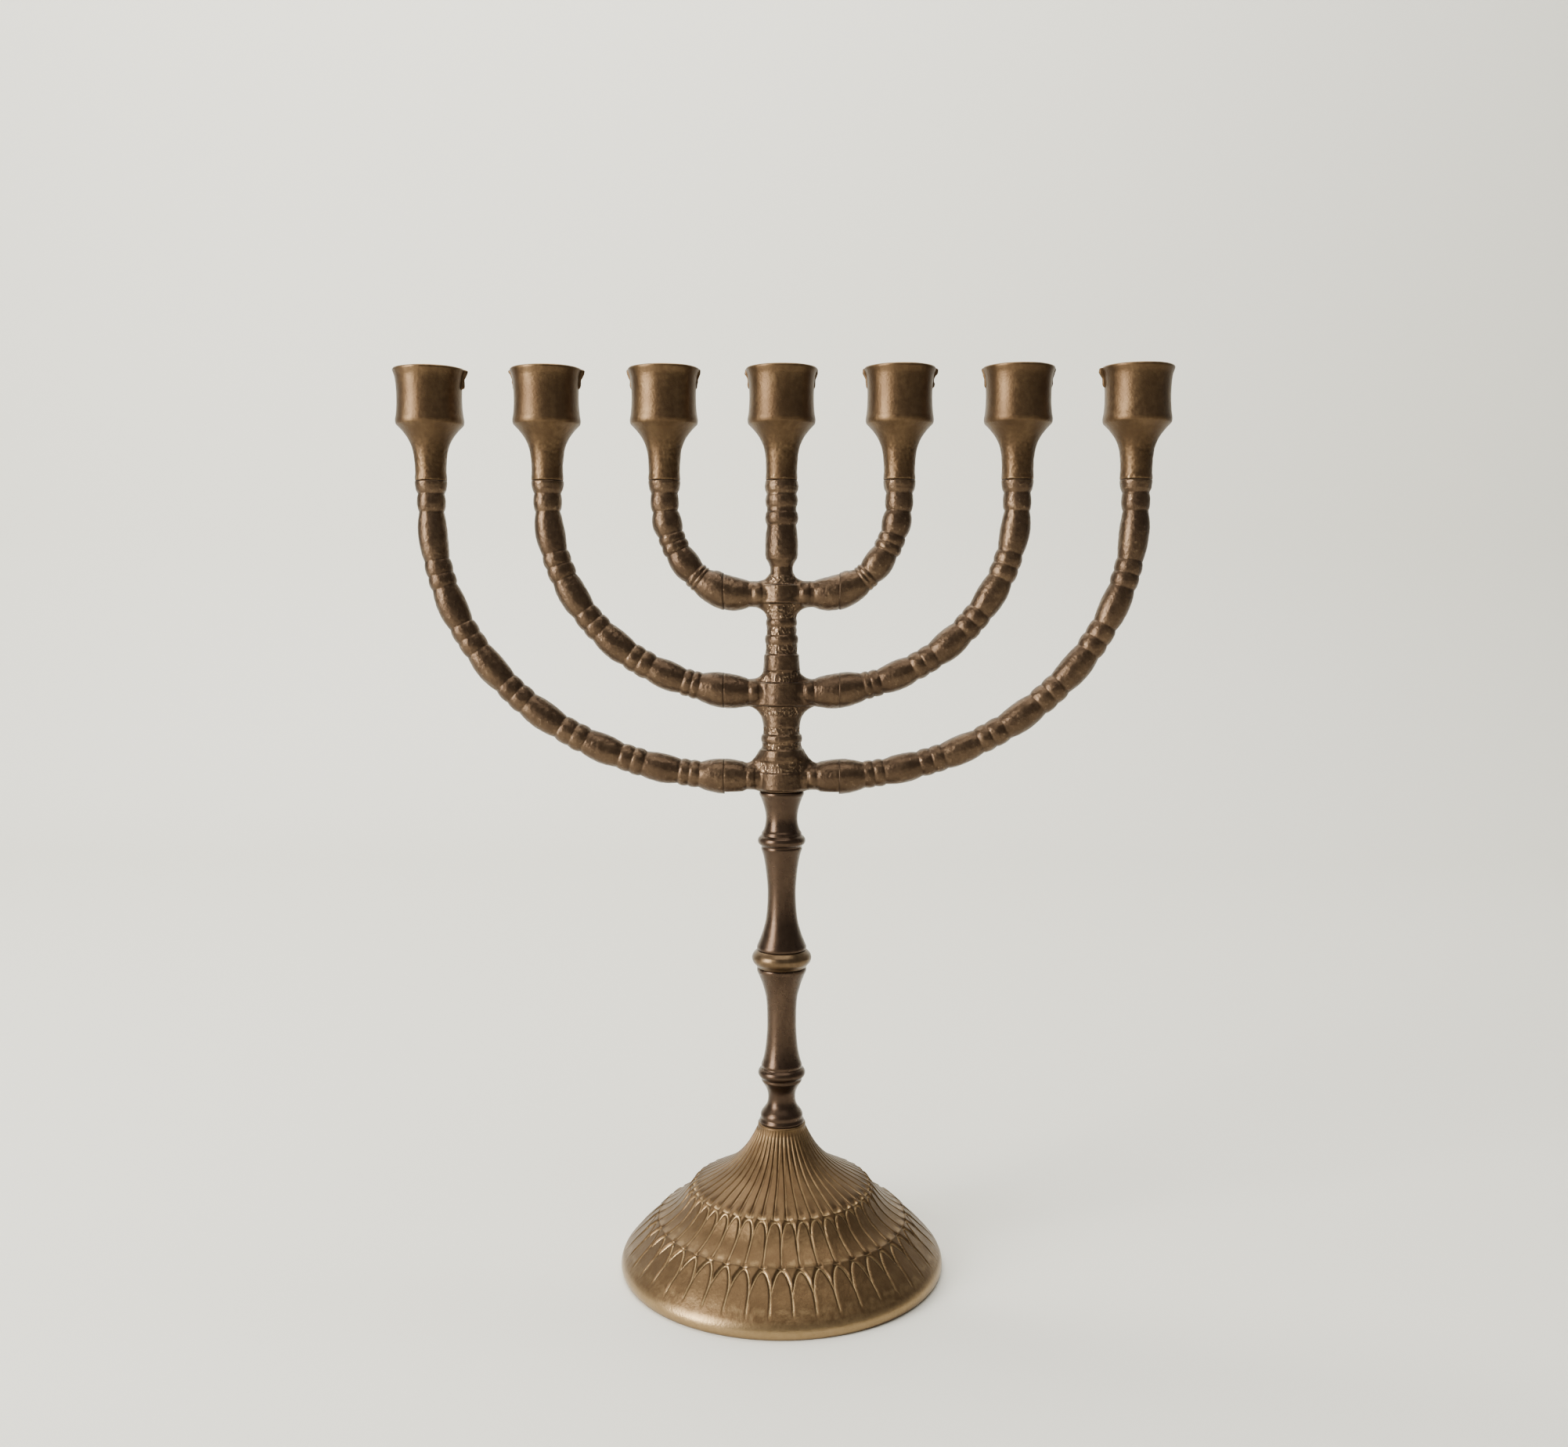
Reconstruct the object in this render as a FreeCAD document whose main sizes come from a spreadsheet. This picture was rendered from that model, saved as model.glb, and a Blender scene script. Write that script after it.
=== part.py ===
import FreeCAD, Part
import math
import os
import Sketcher

# Seven-branch candelabrum in brass, in millimetres. +Z is up, the branches spread along X, and the
# origin is the middle of the foot's underside, on the table. A tie rod clamps the foot, the two
# stem halves and the ring between them to the cast column. The branches are brazed to stubs on the
# column, and each turned candle cup is brazed on top of its branch.

SIDES = ("right", "left")
WHOLE_TURN = 360
NUT_SIDES = 6
VECTOR = FreeCAD.Vector

# Single sizes: alias and value.
DIMENSIONS = {
    # stack of clamped pieces, from the table up
    "foot_height": 56.4,
    "stem_length": 61.2,
    "knop_height": 6.9,
    "column_height": 117.0,
    # turning joint between the upper stem and the column
    "turning_gap": 0.05,
    # tie rod, M8, with its washer and nut under the crown of the foot
    "rod_radius": 4.0,
    "rod_clearance": 0.3,
    "rod_reach": 18.0,
    "rod_tail": 3.5,
    "rod_chamfer": 0.8,
    "thread_gap": 0.05,
    "thread_runout": 2.0,
    "seat_height": 45.5,
    "washer_radius": 8.0,
    "washer_thickness": 1.6,
    "nut_across_flats": 13.0,
    "nut_height": 6.5,
    # brazed spigots, each with a little free depth left at the end of its socket
    "spigot_radius": 2.5,
    "braze_gap": 0.05,
    "socket_relief": 0.2,
    "cup_spigot_length": 7.0,
    "branch_spigot_length": 6.0,
    "cup_spacing": 44.0,
    # branches: the seam with the stub, and the radii of the turned-looking decoration
    "branch_seam": 22.2,
    "stub_radius": 5.0,
    "stub_ring_radius": 5.7,
    "branch_neck_radius": 5.05,
    "root_bulge_radius": 6.7,
    "bulge_radius": 5.55,
    "bulge_shoulder_radius": 5.2,
    "groove_radius": 4.7,
    "double_ring_radius": 5.2,
    "ring_gap_radius": 4.95,
    "top_ring_radius": 5.2,
    "branch_end_radius": 6.1,
    # how far a cutter or a fused piece runs past the face that it starts from, and the width of
    # the block that cuts a branch at its seam
    "overrun": 2.0,
    "seam_block_width": 40.0,
}

# Heights that several pieces share, as expressions on the sheet.
STEM_TOP = "Dimensions.foot_height + 2 * Dimensions.stem_length + Dimensions.knop_height"
CUP_SEAM = f"{STEM_TOP} + Dimensions.column_height"
NUT_SEAT = "Dimensions.seat_height - Dimensions.washer_thickness"
ROD_END = f"{NUT_SEAT} - Dimensions.nut_height - Dimensions.rod_tail"

# Branches: where the level run from the column ends, the height of its centre line, the rise of the
# quarter ellipse above it, and the distances between bulges, from the root bulge outwards. The reach
# of the ellipse follows from the cup's place.
BRANCHES = {
    "inner": {"place": 1, "bend_start": 15.0, "level": 260.4, "rise": 36.0, "gaps": (18, 17)},
    "middle": {"place": 2, "bend_start": 12.0, "level": 223.5, "rise": 70.0, "gaps": (22, 23, 24, 25)},
    "outer": {
        "place": 3, "bend_start": 16.0, "level": 191.2, "rise": 99.0, "gaps": (24, 23, 26, 27, 28, 25)
    },
}

# Sections of a branch. Beside the column: the distance from the seam, and the alias of the radius.
STUB_SECTIONS = (
    (-18.0, "stub_radius"),
    (-12.0, "stub_radius"),
    (-10.6, "stub_ring_radius"),
    (-9.0, "stub_ring_radius"),
    (-7.4, "branch_neck_radius"),
    (-5.6, "branch_neck_radius"),
    (-3.2, "branch_end_radius"),
    (-1.0, "root_bulge_radius"),
    (2.0, "root_bulge_radius"),
    (5.0, "branch_end_radius"),
)
# Between two bulges: the share of the gap, for a groove, a double ring and a groove.
RING_SECTIONS = (
    (0.29, "groove_radius"),
    (0.37, "double_ring_radius"),
    (0.43, "double_ring_radius"),
    (0.50, "ring_gap_radius"),
    (0.57, "double_ring_radius"),
    (0.63, "double_ring_radius"),
    (0.71, "groove_radius"),
)
# On each side of a bulge: the share of the gap between it and the next.
BULGE_SECTIONS = ((0.05, "bulge_radius"), (0.15, "bulge_shoulder_radius"))
# Under the cup: the distance from the branch's end.
TOP_SECTIONS = (
    (-11.4, "groove_radius"),
    (-9.4, "top_ring_radius"),
    (-6.2, "top_ring_radius"),
    (-5.0, "ring_gap_radius"),
    (-2.4, "branch_end_radius"),
    (0.0, "branch_end_radius"),
)

# Turned outlines, each a closed loop of points: name, radius, height, and the signed radius of the
# arc to the next point (0 is straight, + swells away from the axis, - is hollow).
FOOT_OUTLINE = [
    ("rim_foot", 61.0, 0.0, 5.2),
    ("rim_top", 61.3, 6.8, 17.0),
    ("petal_top", 48.9, 18.4, 0),
    ("ledge_two", 48.3, 19.6, -60.0),
    ("arch_top", 35.6, 30.8, 0),
    ("ledge_one", 34.9, 32.3, -31.0),
    ("cone_top", 15.6, 45.0, -24.0),
    ("collar", 9.0, 56.4, 0),
    ("crown_hole_top", 4.3, 56.4, 0),
    ("crown_hole", 4.3, 45.5, 0),
    ("seat_edge", 11.5, 45.5, 0),
    ("inner_crown", 15.5, 40.5, 0),
    ("inner_shoulder", 33.0, 28.2, 0),
    ("inner_ledge", 46.0, 17.2, 0),
    ("inner_rim", 57.6, 6.0, 0),
    ("inner_foot", 58.4, 0.0, 0),
]
# Both halves of the stem are drawn from the plain end to the flared one.
LOWER_STEM_OUTLINE = [
    ("foot_edge", 8.2, 0.0, 2.6),
    ("foot_shoulder", 7.6, 4.1, -4.4),
    ("neck", 5.15, 9.7, -8.0),
    ("neck_lip", 7.7, 16.0, 0),
    ("lip_edge", 7.9, 17.0, 0),
    ("torus_foot", 7.7, 17.6, 2.1),
    ("torus_top", 7.7, 21.4, 0),
    ("upper_lip", 7.9, 22.0, 0),
    ("upper_lip_top", 7.6, 23.2, -37.0),
    ("waist", 5.5, 39.0, -34.0),
    ("flare", 9.3, 58.8, 0),
    ("flare_lip", 9.5, 59.4, 0),
    ("flare_end", 9.5, 61.2, 0),
    ("bore_end", 4.3, 61.2, 0),
    ("bore_start", 4.3, 0.0, 0),
]
UPPER_STEM_OUTLINE = [
    ("end_edge", 8.4, 0.0, 0),
    ("end_lip", 8.5, 0.8, 0),
    ("end_shoulder", 8.3, 1.7, -17.0),
    ("neck", 6.0, 9.6, -9.5),
    ("neck_lip", 7.7, 15.6, 0),
    ("lip_edge", 7.9, 16.4, 0),
    ("torus_foot", 7.7, 17.0, 2.1),
    ("torus_top", 7.7, 20.8, 0),
    ("upper_lip", 7.9, 21.4, 0),
    ("upper_lip_top", 7.6, 22.6, -37.0),
    ("waist", 5.45, 39.0, -34.0),
    ("flare", 9.3, 58.8, 0),
    ("flare_lip", 9.5, 59.4, 0),
    ("flare_end", 9.5, 61.2, 0),
    ("bore_end", 4.3, 61.2, 0),
    ("bore_start", 4.3, 0.0, 0),
]
KNOP_OUTLINE = [
    ("lower_edge", 9.6, 0.0, 4.15),
    ("upper_edge", 9.6, 6.9, 0),
    ("bore_end", 4.3, 6.9, 0),
    ("bore_start", 4.3, 0.0, 0),
]
CUP_OUTLINE = [
    ("spigot_end", 2.5, 0.0, 0),
    ("spigot_root", 2.5, 7.0, 0),
    ("stalk_foot", 6.1, 7.0, 0),
    ("stalk", 5.85, 9.8, -30.0),
    ("trumpet", 6.45, 18.0, -8.5),
    ("shoulder", 9.5, 24.9, 6.0),
    ("belly", 12.5, 29.4, -40.0),
    ("flare", 13.2, 47.2, 0),
    ("lip", 13.4, 47.7, 0),
    ("lip_top", 13.1, 48.5, 0),
    ("mouth", 11.5, 48.5, 0),
    ("bore_top", 11.1, 48.1, 0),
    ("bore_floor", 11.1, 28.5, 0),
    ("floor_centre", 0.0, 28.5, 0),
    ("spigot_centre", 0.0, 0.0, 0),
]
COLUMN_OUTLINE = [
    ("foot", 8.05, DIMENSIONS["turning_gap"], 0),
    ("foot_edge", 8.3, 0.8, 12.0),
    ("hub_three", 8.1, 11.5, 0),
    ("ring_one_low", 8.5, 13.0, 1.5),
    ("ring_one_high", 8.3, 15.6, 0),
    ("groove_one", 7.5, 16.6, 0),
    ("ring_two_low", 7.9, 18.0, 1.5),
    ("ring_two_high", 7.7, 20.4, 0),
    ("groove_two", 6.9, 21.6, 0),
    ("ring_three_low", 7.3, 23.0, 1.5),
    ("ring_three_high", 7.1, 25.2, 0),
    ("groove_three", 6.8, 26.6, 0),
    ("hub_two_low", 7.2, 30.0, 14.0),
    ("hub_two_high", 7.1, 45.0, 0),
    ("groove_four", 6.4, 46.6, 0),
    ("ring_four", 6.6, 49.0, 0),
    ("groove_five", 6.2, 51.4, 0),
    ("ring_five", 6.2, 54.0, 0),
    ("groove_six", 5.8, 56.4, 0),
    ("ring_six", 6.1, 59.0, 0),
    ("groove_seven", 5.8, 62.0, 0),
    ("ring_seven", 6.2, 64.0, 0),
    ("groove_eight", 5.7, 66.2, 0),
    ("hub_one_low", 6.2, 69.0, 18.0),
    ("hub_one_high", 6.0, 79.5, 0),
    ("waist_low", 4.6, 82.0, -3.0),
    ("waist_high", 4.6, 86.2, 0),
    ("vase_low", 6.0, 88.8, 9.0),
    ("vase_high", 6.0, 96.0, 0),
    ("vase_neck", 5.5, 99.0, 0),
    ("collar_low", 5.5, 101.2, 0),
    ("collar_ring_low", 6.2, 102.2, 1.6),
    ("collar_ring_high", 6.2, 104.6, 0),
    ("collar_groove", 5.55, 105.6, 0),
    ("top_groove", 5.6, 107.6, 0),
    ("top_ring_low", 6.15, 108.6, 1.6),
    ("top_ring_high", 6.15, 110.8, 0),
    ("top_gap", 5.95, 112.0, 0),
    ("top_edge_low", 6.4, 113.2, 0),
    ("top_edge_high", 6.4, 116.0, 0),
    ("top", 6.1, DIMENSIONS["column_height"], 0),
    ("top_centre", 0.0, DIMENSIONS["column_height"], 0),
    ("foot_centre", 0.0, DIMENSIONS["turning_gap"], 0),
]

doc = FreeCAD.newDocument("menorah")
sheet = doc.addObject("Spreadsheet::Sheet", "Dimensions")
used_rows = []


def add_dimension(alias, value):
    """Writes one plain number to the sheet, under its alias."""
    row = len(used_rows) + 1
    used_rows.append(alias)
    sheet.set(f"A{row}", alias)
    sheet.set(f"B{row}", str(value))
    sheet.setAlias(f"B{row}", alias)


def add_outline(prefix, outline):
    """Writes the radius, height and curve of each point of a turned outline to the sheet."""
    for name, radius, height, curve in outline:
        add_dimension(f"{prefix}_{name}_radius", radius)
        add_dimension(f"{prefix}_{name}_height", height)
        if curve:
            add_dimension(f"{prefix}_{name}_curve", abs(curve))


def size(alias):
    return getattr(sheet, alias)


def bind(thing, **expressions):
    """Binds properties to expressions on the sheet. Two underscores in a name stand for a dot."""
    for key, expression in expressions.items():
        thing.setExpression(key.replace("__", "."), expression)


# ---------------------------------------------------------------- sketches and turned bodies


def origin_plane(body, role):
    return next(feature for feature in body.Origin.OriginFeatures if feature.Role == role)


def new_sketch(body, name, role):
    sketch = body.newObject("Sketcher::SketchObject", name)
    sketch.AttachmentSupport = [(origin_plane(body, role), "")]
    sketch.MapMode = "FlatFace"
    return sketch


def arc_between(start, end, curve):
    """An arc from start to end. Points run anticlockwise round the outline, so a swelling arc is
    itself anticlockwise, and a hollow one is drawn from its end to its start."""
    chord = end - start
    half = chord.Length / 2
    radius = abs(curve)
    middle = (start + end) / 2
    left = VECTOR(-chord.y, chord.x, 0).normalize()
    inset = math.sqrt(radius**2 - half**2)
    centre = middle + left * (inset if curve > 0 else -inset)
    first, last = (start, end) if curve > 0 else (end, start)
    first_angle = math.atan2(first.y - centre.y, first.x - centre.x)
    last_angle = math.atan2(last.y - centre.y, last.x - centre.x)
    circle = Part.Circle(centre, VECTOR(0, 0, 1), radius)
    return Part.ArcOfCircle(circle, first_angle, last_angle)


def draw_outline(sketch, prefix, outline):
    """Draws a closed outline, fully constrained, with every size bound to the sheet."""
    corners = [VECTOR(radius, height, 0) for name, radius, height, curve in outline]
    count = len(outline)
    starts = []
    ends = []
    for index, (name, radius, height, curve) in enumerate(outline):
        start = corners[index]
        end = corners[(index + 1) % count]
        if curve:
            edge = sketch.addGeometry(arc_between(start, end, curve), False)
        else:
            edge = sketch.addGeometry(Part.LineSegment(start, end), False)
        starts.append((edge, 1 if curve >= 0 else 2))
        ends.append((edge, 2 if curve >= 0 else 1))
    for index in range(count):
        joined = starts[(index + 1) % count]
        sketch.addConstraint(Sketcher.Constraint("Coincident", *ends[index], *joined))
    for index, (name, radius, height, curve) in enumerate(outline):
        point = starts[index]
        for kind, value, word, axis in (
            ("DistanceX", radius, "radius", -2),
            ("DistanceY", height, "height", -1),
        ):
            if value == 0:
                sketch.addConstraint(Sketcher.Constraint("PointOnObject", *point, axis))
                continue
            label = f"{name}_{word}"
            number = sketch.addConstraint(Sketcher.Constraint(kind, -1, 1, *point, value))
            sketch.renameConstraint(number, label)
            sketch.setExpression(f"Constraints.{label}", f"Dimensions.{prefix}_{label}")
        if curve:
            label = f"{name}_curve"
            number = sketch.addConstraint(Sketcher.Constraint("Radius", point[0], abs(curve)))
            sketch.renameConstraint(number, label)
            sketch.setExpression(f"Constraints.{label}", f"Dimensions.{prefix}_{label}")


def turned_body(name, prefix, outline):
    """A lathe-turned piece: one outline revolved about the Z axis."""
    body = doc.addObject("PartDesign::Body", name)
    body.Label = name
    sketch = new_sketch(body, f"{name}_outline", "XZ_Plane")
    draw_outline(sketch, prefix, outline)
    turning = body.newObject("PartDesign::Revolution", f"{name}_turning")
    turning.Profile = sketch
    turning.ReferenceAxis = (sketch, ["V_Axis"])
    turning.Angle = WHOLE_TURN
    return body


def circle_sketch(body, name, radii):
    """Concentric circles on the body's XY plane, each radius bound to an expression."""
    sketch = new_sketch(body, name, "XY_Plane")
    for index, expression in enumerate(radii):
        # The circle is drawn at any size, and the expression then sets its radius.
        drawn = 1 + index
        ring = sketch.addGeometry(Part.Circle(VECTOR(0, 0, 0), VECTOR(0, 0, 1), drawn), False)
        sketch.addConstraint(Sketcher.Constraint("Coincident", ring, 3, -1, 1))
        number = sketch.addConstraint(Sketcher.Constraint("Radius", ring, drawn))
        sketch.renameConstraint(number, f"radius_{index}")
        sketch.setExpression(f"Constraints.radius_{index}", expression)
    return sketch


def padded(body, sketch, name, length):
    pad = body.newObject("PartDesign::Pad", name)
    pad.Profile = sketch
    pad.setExpression("Length", length)
    return pad


# ---------------------------------------------------------------- stand


def make_stand():
    """The foot, the two stem halves and the ring between them, standing on each other."""
    foot = turned_body("base", "foot", FOOT_OUTLINE)
    lower_stem = turned_body("lower_stem", "lower", LOWER_STEM_OUTLINE)
    bind(lower_stem, Placement__Base__z="Dimensions.foot_height")
    knop_ring = turned_body("knop_ring", "knop", KNOP_OUTLINE)
    bind(knop_ring, Placement__Base__z="Dimensions.foot_height + Dimensions.stem_length")
    # The upper half is turned over, so that its plain end meets the column.
    upper_stem = turned_body("upper_stem", "upper", UPPER_STEM_OUTLINE)
    upper_stem.Placement = FreeCAD.Placement(
        VECTOR(0, 0, 0), FreeCAD.Rotation(VECTOR(1, 0, 0), WHOLE_TURN / 2)
    )
    bind(upper_stem, Placement__Base__z=STEM_TOP)
    return [foot, lower_stem, knop_ring, upper_stem]


def make_fasteners():
    """The tie rod, and the washer and nut that clamp the stack from below."""
    rod = doc.addObject("PartDesign::Body", "tie_rod")
    rod.Label = "tie_rod"
    sketch = circle_sketch(rod, "rod_circle", ["Dimensions.rod_radius"])
    shaft = padded(rod, sketch, "rod_shaft", f"{STEM_TOP} + Dimensions.rod_reach - ({ROD_END})")
    doc.recompute()
    ends = [
        f"Edge{number}"
        for number, edge in enumerate(shaft.Shape.Edges, 1)
        if isinstance(edge.Curve, Part.Circle)
    ]
    chamfer = rod.newObject("PartDesign::Chamfer", "rod_ends")
    chamfer.Base = (shaft, ends)
    chamfer.setExpression("Size", "Dimensions.rod_chamfer")
    bind(rod, Placement__Base__z=ROD_END)

    washer = doc.addObject("PartDesign::Body", "base_washer")
    washer.Label = "base_washer"
    sketch = circle_sketch(
        washer,
        "washer_circles",
        ["Dimensions.rod_radius + Dimensions.rod_clearance", "Dimensions.washer_radius"],
    )
    padded(washer, sketch, "washer_disc", "Dimensions.washer_thickness")
    bind(washer, Placement__Base__z=NUT_SEAT)

    nut = doc.addObject("PartDesign::Body", "base_nut")
    nut.Label = "base_nut"
    sketch = circle_sketch(nut, "nut_hole", ["Dimensions.rod_radius + Dimensions.thread_gap"])
    corner_radius = size("nut_across_flats") / math.sqrt(3)
    corners = []
    for index in range(NUT_SIDES):
        angle = math.radians(WHOLE_TURN * index / NUT_SIDES)
        corners.append(VECTOR(corner_radius * math.cos(angle), corner_radius * math.sin(angle), 0))
    sides = []
    for index in range(NUT_SIDES):
        line = Part.LineSegment(corners[index], corners[(index + 1) % NUT_SIDES])
        sides.append(sketch.addGeometry(line, False))
    for index in range(NUT_SIDES):
        joined = sides[(index + 1) % NUT_SIDES]
        sketch.addConstraint(Sketcher.Constraint("Coincident", sides[index], 2, joined, 1))
        if index:
            sketch.addConstraint(Sketcher.Constraint("Equal", sides[0], sides[index]))
    rim = sketch.addGeometry(
        Part.Circle(VECTOR(0, 0, 0), VECTOR(0, 0, 1), corner_radius), True
    )
    sketch.addConstraint(Sketcher.Constraint("Coincident", rim, 3, -1, 1))
    for side in sides:
        sketch.addConstraint(Sketcher.Constraint("PointOnObject", side, 1, rim))
    sketch.addConstraint(Sketcher.Constraint("PointOnObject", sides[0], 1, -1))
    number = sketch.addConstraint(Sketcher.Constraint("Radius", rim, corner_radius))
    sketch.renameConstraint(number, "corner_radius")
    sketch.setExpression("Constraints.corner_radius", "Dimensions.nut_across_flats / sqrt(3)")
    padded(nut, sketch, "nut_prism", "Dimensions.nut_height - Dimensions.turning_gap")
    bind(nut, Placement__Base__z=f"{NUT_SEAT} - Dimensions.nut_height")
    return [rod, washer, nut]


# ---------------------------------------------------------------- branches


def branch_path(branch):
    """Closely spaced points of a branch's centre line, from the column's axis to the cup seam:
    a level run, a quarter ellipse, and a plumb run."""
    steps = 400
    reach = branch["place"] * size("cup_spacing") - branch["bend_start"]
    points = [VECTOR(0, 0, branch["level"])]
    for step in range(steps + 1):
        angle = math.pi / 2 * step / steps
        points.append(
            VECTOR(
                branch["bend_start"] + reach * math.sin(angle),
                0,
                branch["level"] + branch["rise"] * (1 - math.cos(angle)),
            )
        )
    points.append(VECTOR(points[-1].x, 0, cup_seam_height()))
    return points


def cup_seam_height():
    return (
        size("foot_height") + 2 * size("stem_length") + size("knop_height") + size("column_height")
    )


def walk(points):
    """The distance along the path at each of its points."""
    distances = [0.0]
    for start, end in zip(points, points[1:]):
        distances.append(distances[-1] + (end - start).Length)
    return distances


def place_on(points, distances, distance):
    """The placement of a section across the path, distance along it."""
    index = 1
    while index < len(distances) - 1 and distances[index] < distance:
        index += 1
    step = points[index] - points[index - 1]
    share = (distance - distances[index - 1]) / step.Length
    # The direction is smoothed over the neighbours, so that the sections turn evenly.
    before = points[max(index - 2, 0)]
    after = points[min(index + 1, len(points) - 1)]
    direction = step if index in (1, len(points) - 1) else after - before
    turn = FreeCAD.Rotation(VECTOR(0, 0, 1), direction)
    return FreeCAD.Placement(points[index - 1] + step * share, turn)


def branch_sections(branch, seam_distance, end_distance):
    """The sections of a branch: distance along its path, and the alias of its radius there."""
    sections = [(seam_distance + offset, alias) for offset, alias in STUB_SECTIONS]
    distance = seam_distance
    for number, gap in enumerate(branch["gaps"]):
        if number:
            sections += [(distance + share * gap, alias) for share, alias in BULGE_SECTIONS]
        sections += [(distance + share * gap, alias) for share, alias in RING_SECTIONS]
        distance += gap
        sections += [(distance - share * gap, alias) for share, alias in reversed(BULGE_SECTIONS)]
    top = [(end_distance + offset, alias) for offset, alias in TOP_SECTIONS]
    sections.append(((distance + top[0][0]) / 2, "bulge_shoulder_radius"))
    return sections + top


def make_branch(name, branch):
    """One right-hand branch, cut at its seam into the stub on the column and the free arm."""
    points = branch_path(branch)
    distances = walk(points)
    seam_index = next(
        index for index, point in enumerate(points) if point.x >= size("branch_seam")
    )
    circles = []
    for distance, alias in branch_sections(branch, distances[seam_index], distances[-1]):
        circle = doc.addObject("Part::Circle", f"{name}_section")
        circle.Placement = place_on(points, distances, distance)
        circle.setExpression("Radius", f"Dimensions.{alias}")
        circles.append(circle)
    whole = doc.addObject("Part::Loft", f"{name}_whole")
    whole.Sections = circles
    whole.Solid = True
    whole.Ruled = True

    beside = doc.addObject("Part::Box", f"{name}_stub_side")
    bind(
        beside,
        Length="2 * Dimensions.branch_seam",
        Width="Dimensions.seam_block_width",
        Height="Dimensions.seam_block_width",
        Placement__Base__x="-Dimensions.branch_seam",
        Placement__Base__y="-Dimensions.seam_block_width / 2",
        Placement__Base__z=f"{branch['level']} - Dimensions.seam_block_width / 2",
    )
    stub = doc.addObject("Part::Common", f"{name}_stub")
    stub.Base = whole
    stub.Tool = beside
    free = doc.addObject("Part::Cut", f"{name}_free")
    free.Base = whole
    free.Tool = beside

    seam_height = points[seam_index].z
    spigot = doc.addObject("Part::Cylinder", f"{name}_spigot")
    along_x = FreeCAD.Rotation(VECTOR(0, 0, 1), VECTOR(1, 0, 0))
    spigot.Placement = FreeCAD.Placement(VECTOR(0, 0, seam_height), along_x)
    bind(
        spigot,
        Radius="Dimensions.spigot_radius",
        Height="Dimensions.branch_spigot_length + Dimensions.overrun",
        Placement__Base__x="Dimensions.branch_seam - Dimensions.branch_spigot_length",
    )
    socket = doc.addObject("Part::Cylinder", f"{name}_socket")
    socket.Placement = FreeCAD.Placement(VECTOR(0, 0, seam_height), along_x)
    bind(
        socket,
        Radius="Dimensions.spigot_radius + Dimensions.braze_gap",
        Height="Dimensions.branch_spigot_length + Dimensions.overrun",
        Placement__Base__x=(
            "Dimensions.branch_seam - Dimensions.branch_spigot_length - Dimensions.socket_relief"
        ),
    )
    cup_socket = make_cup_socket(f"{name}_cup_socket", branch["place"])
    with_spigot = doc.addObject("Part::Fuse", f"{name}_with_spigot")
    with_spigot.Base = free
    with_spigot.Tool = spigot
    arm = doc.addObject("Part::Cut", f"arm_{name}_right")
    arm.Label = f"arm_{name}_right"
    arm.Base = with_spigot
    arm.Tool = cup_socket
    return arm, stub, socket


def make_cup_socket(name, place):
    """The hole under a cup seam that takes the cup's spigot."""
    socket = doc.addObject("Part::Cylinder", name)
    bind(
        socket,
        Radius="Dimensions.spigot_radius + Dimensions.braze_gap",
        Height="Dimensions.cup_spigot_length + Dimensions.overrun",
        Placement__Base__x=f"{place} * Dimensions.cup_spacing",
        Placement__Base__z=(
            f"{CUP_SEAM} - Dimensions.cup_spigot_length - Dimensions.socket_relief"
        ),
    )
    return socket


def mirrored(source, name):
    """The same shape on the other side of the YZ plane."""
    mirror = doc.addObject("Part::Mirroring", name)
    mirror.Label = name
    mirror.Source = source
    mirror.Normal = VECTOR(1, 0, 0)
    return mirror


def make_candelabrum():
    """The column with its stubs, and the six arms."""
    column_body = turned_body("column_blank", "column", COLUMN_OUTLINE)
    bind(column_body, Placement__Base__z=STEM_TOP)
    arms = []
    stubs = [column_body]
    holes = [make_cup_socket("column_cup_socket", 0)]
    for name, branch in BRANCHES.items():
        arm, stub, socket = make_branch(name, branch)
        arms += [arm, mirrored(arm, f"arm_{name}_left")]
        stubs += [stub, mirrored(stub, f"{name}_stub_left")]
        holes += [socket, mirrored(socket, f"{name}_socket_left")]
    thread = doc.addObject("Part::Cylinder", "column_thread")
    bind(
        thread,
        Radius="Dimensions.rod_radius + Dimensions.thread_gap",
        Height="Dimensions.rod_reach + Dimensions.thread_runout + Dimensions.overrun",
        Placement__Base__z=f"{STEM_TOP} - Dimensions.overrun",
    )
    holes.append(thread)
    casting = doc.addObject("Part::MultiFuse", "column_casting")
    casting.Shapes = stubs
    drilled = doc.addObject("Part::MultiFuse", "column_holes")
    drilled.Shapes = holes
    column = doc.addObject("Part::Cut", "column")
    column.Label = "column"
    column.Base = casting
    column.Tool = drilled
    return [column] + arms


def make_cups():
    """The seven candle cups, in a row along X."""
    names = {0: "cup_centre"}
    for name, branch in BRANCHES.items():
        for sign, side in zip((1, -1), SIDES):
            names[sign * branch["place"]] = f"cup_{name}_{side}"
    cups = []
    for place, name in sorted(names.items()):
        cup = turned_body(name, "cup", CUP_OUTLINE)
        bind(
            cup,
            Placement__Base__x=f"{place} * Dimensions.cup_spacing",
            Placement__Base__z=f"{CUP_SEAM} - Dimensions.cup_spigot_length",
        )
        cups.append(cup)
    return cups


# ---------------------------------------------------------------- build, check and write


def check(pieces):
    """Stops if an object failed, or a piece isn't one valid closed solid."""
    for thing in doc.Objects:
        if "Invalid" in thing.State or "Error" in thing.State:
            raise RuntimeError(f"{thing.Name} failed: {thing.State}")
    for piece in pieces:
        shape = piece.Shape
        if shape.isNull() or not shape.isValid() or len(shape.Solids) != 1:
            raise RuntimeError(f"{piece.Label} is not one valid solid")


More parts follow.
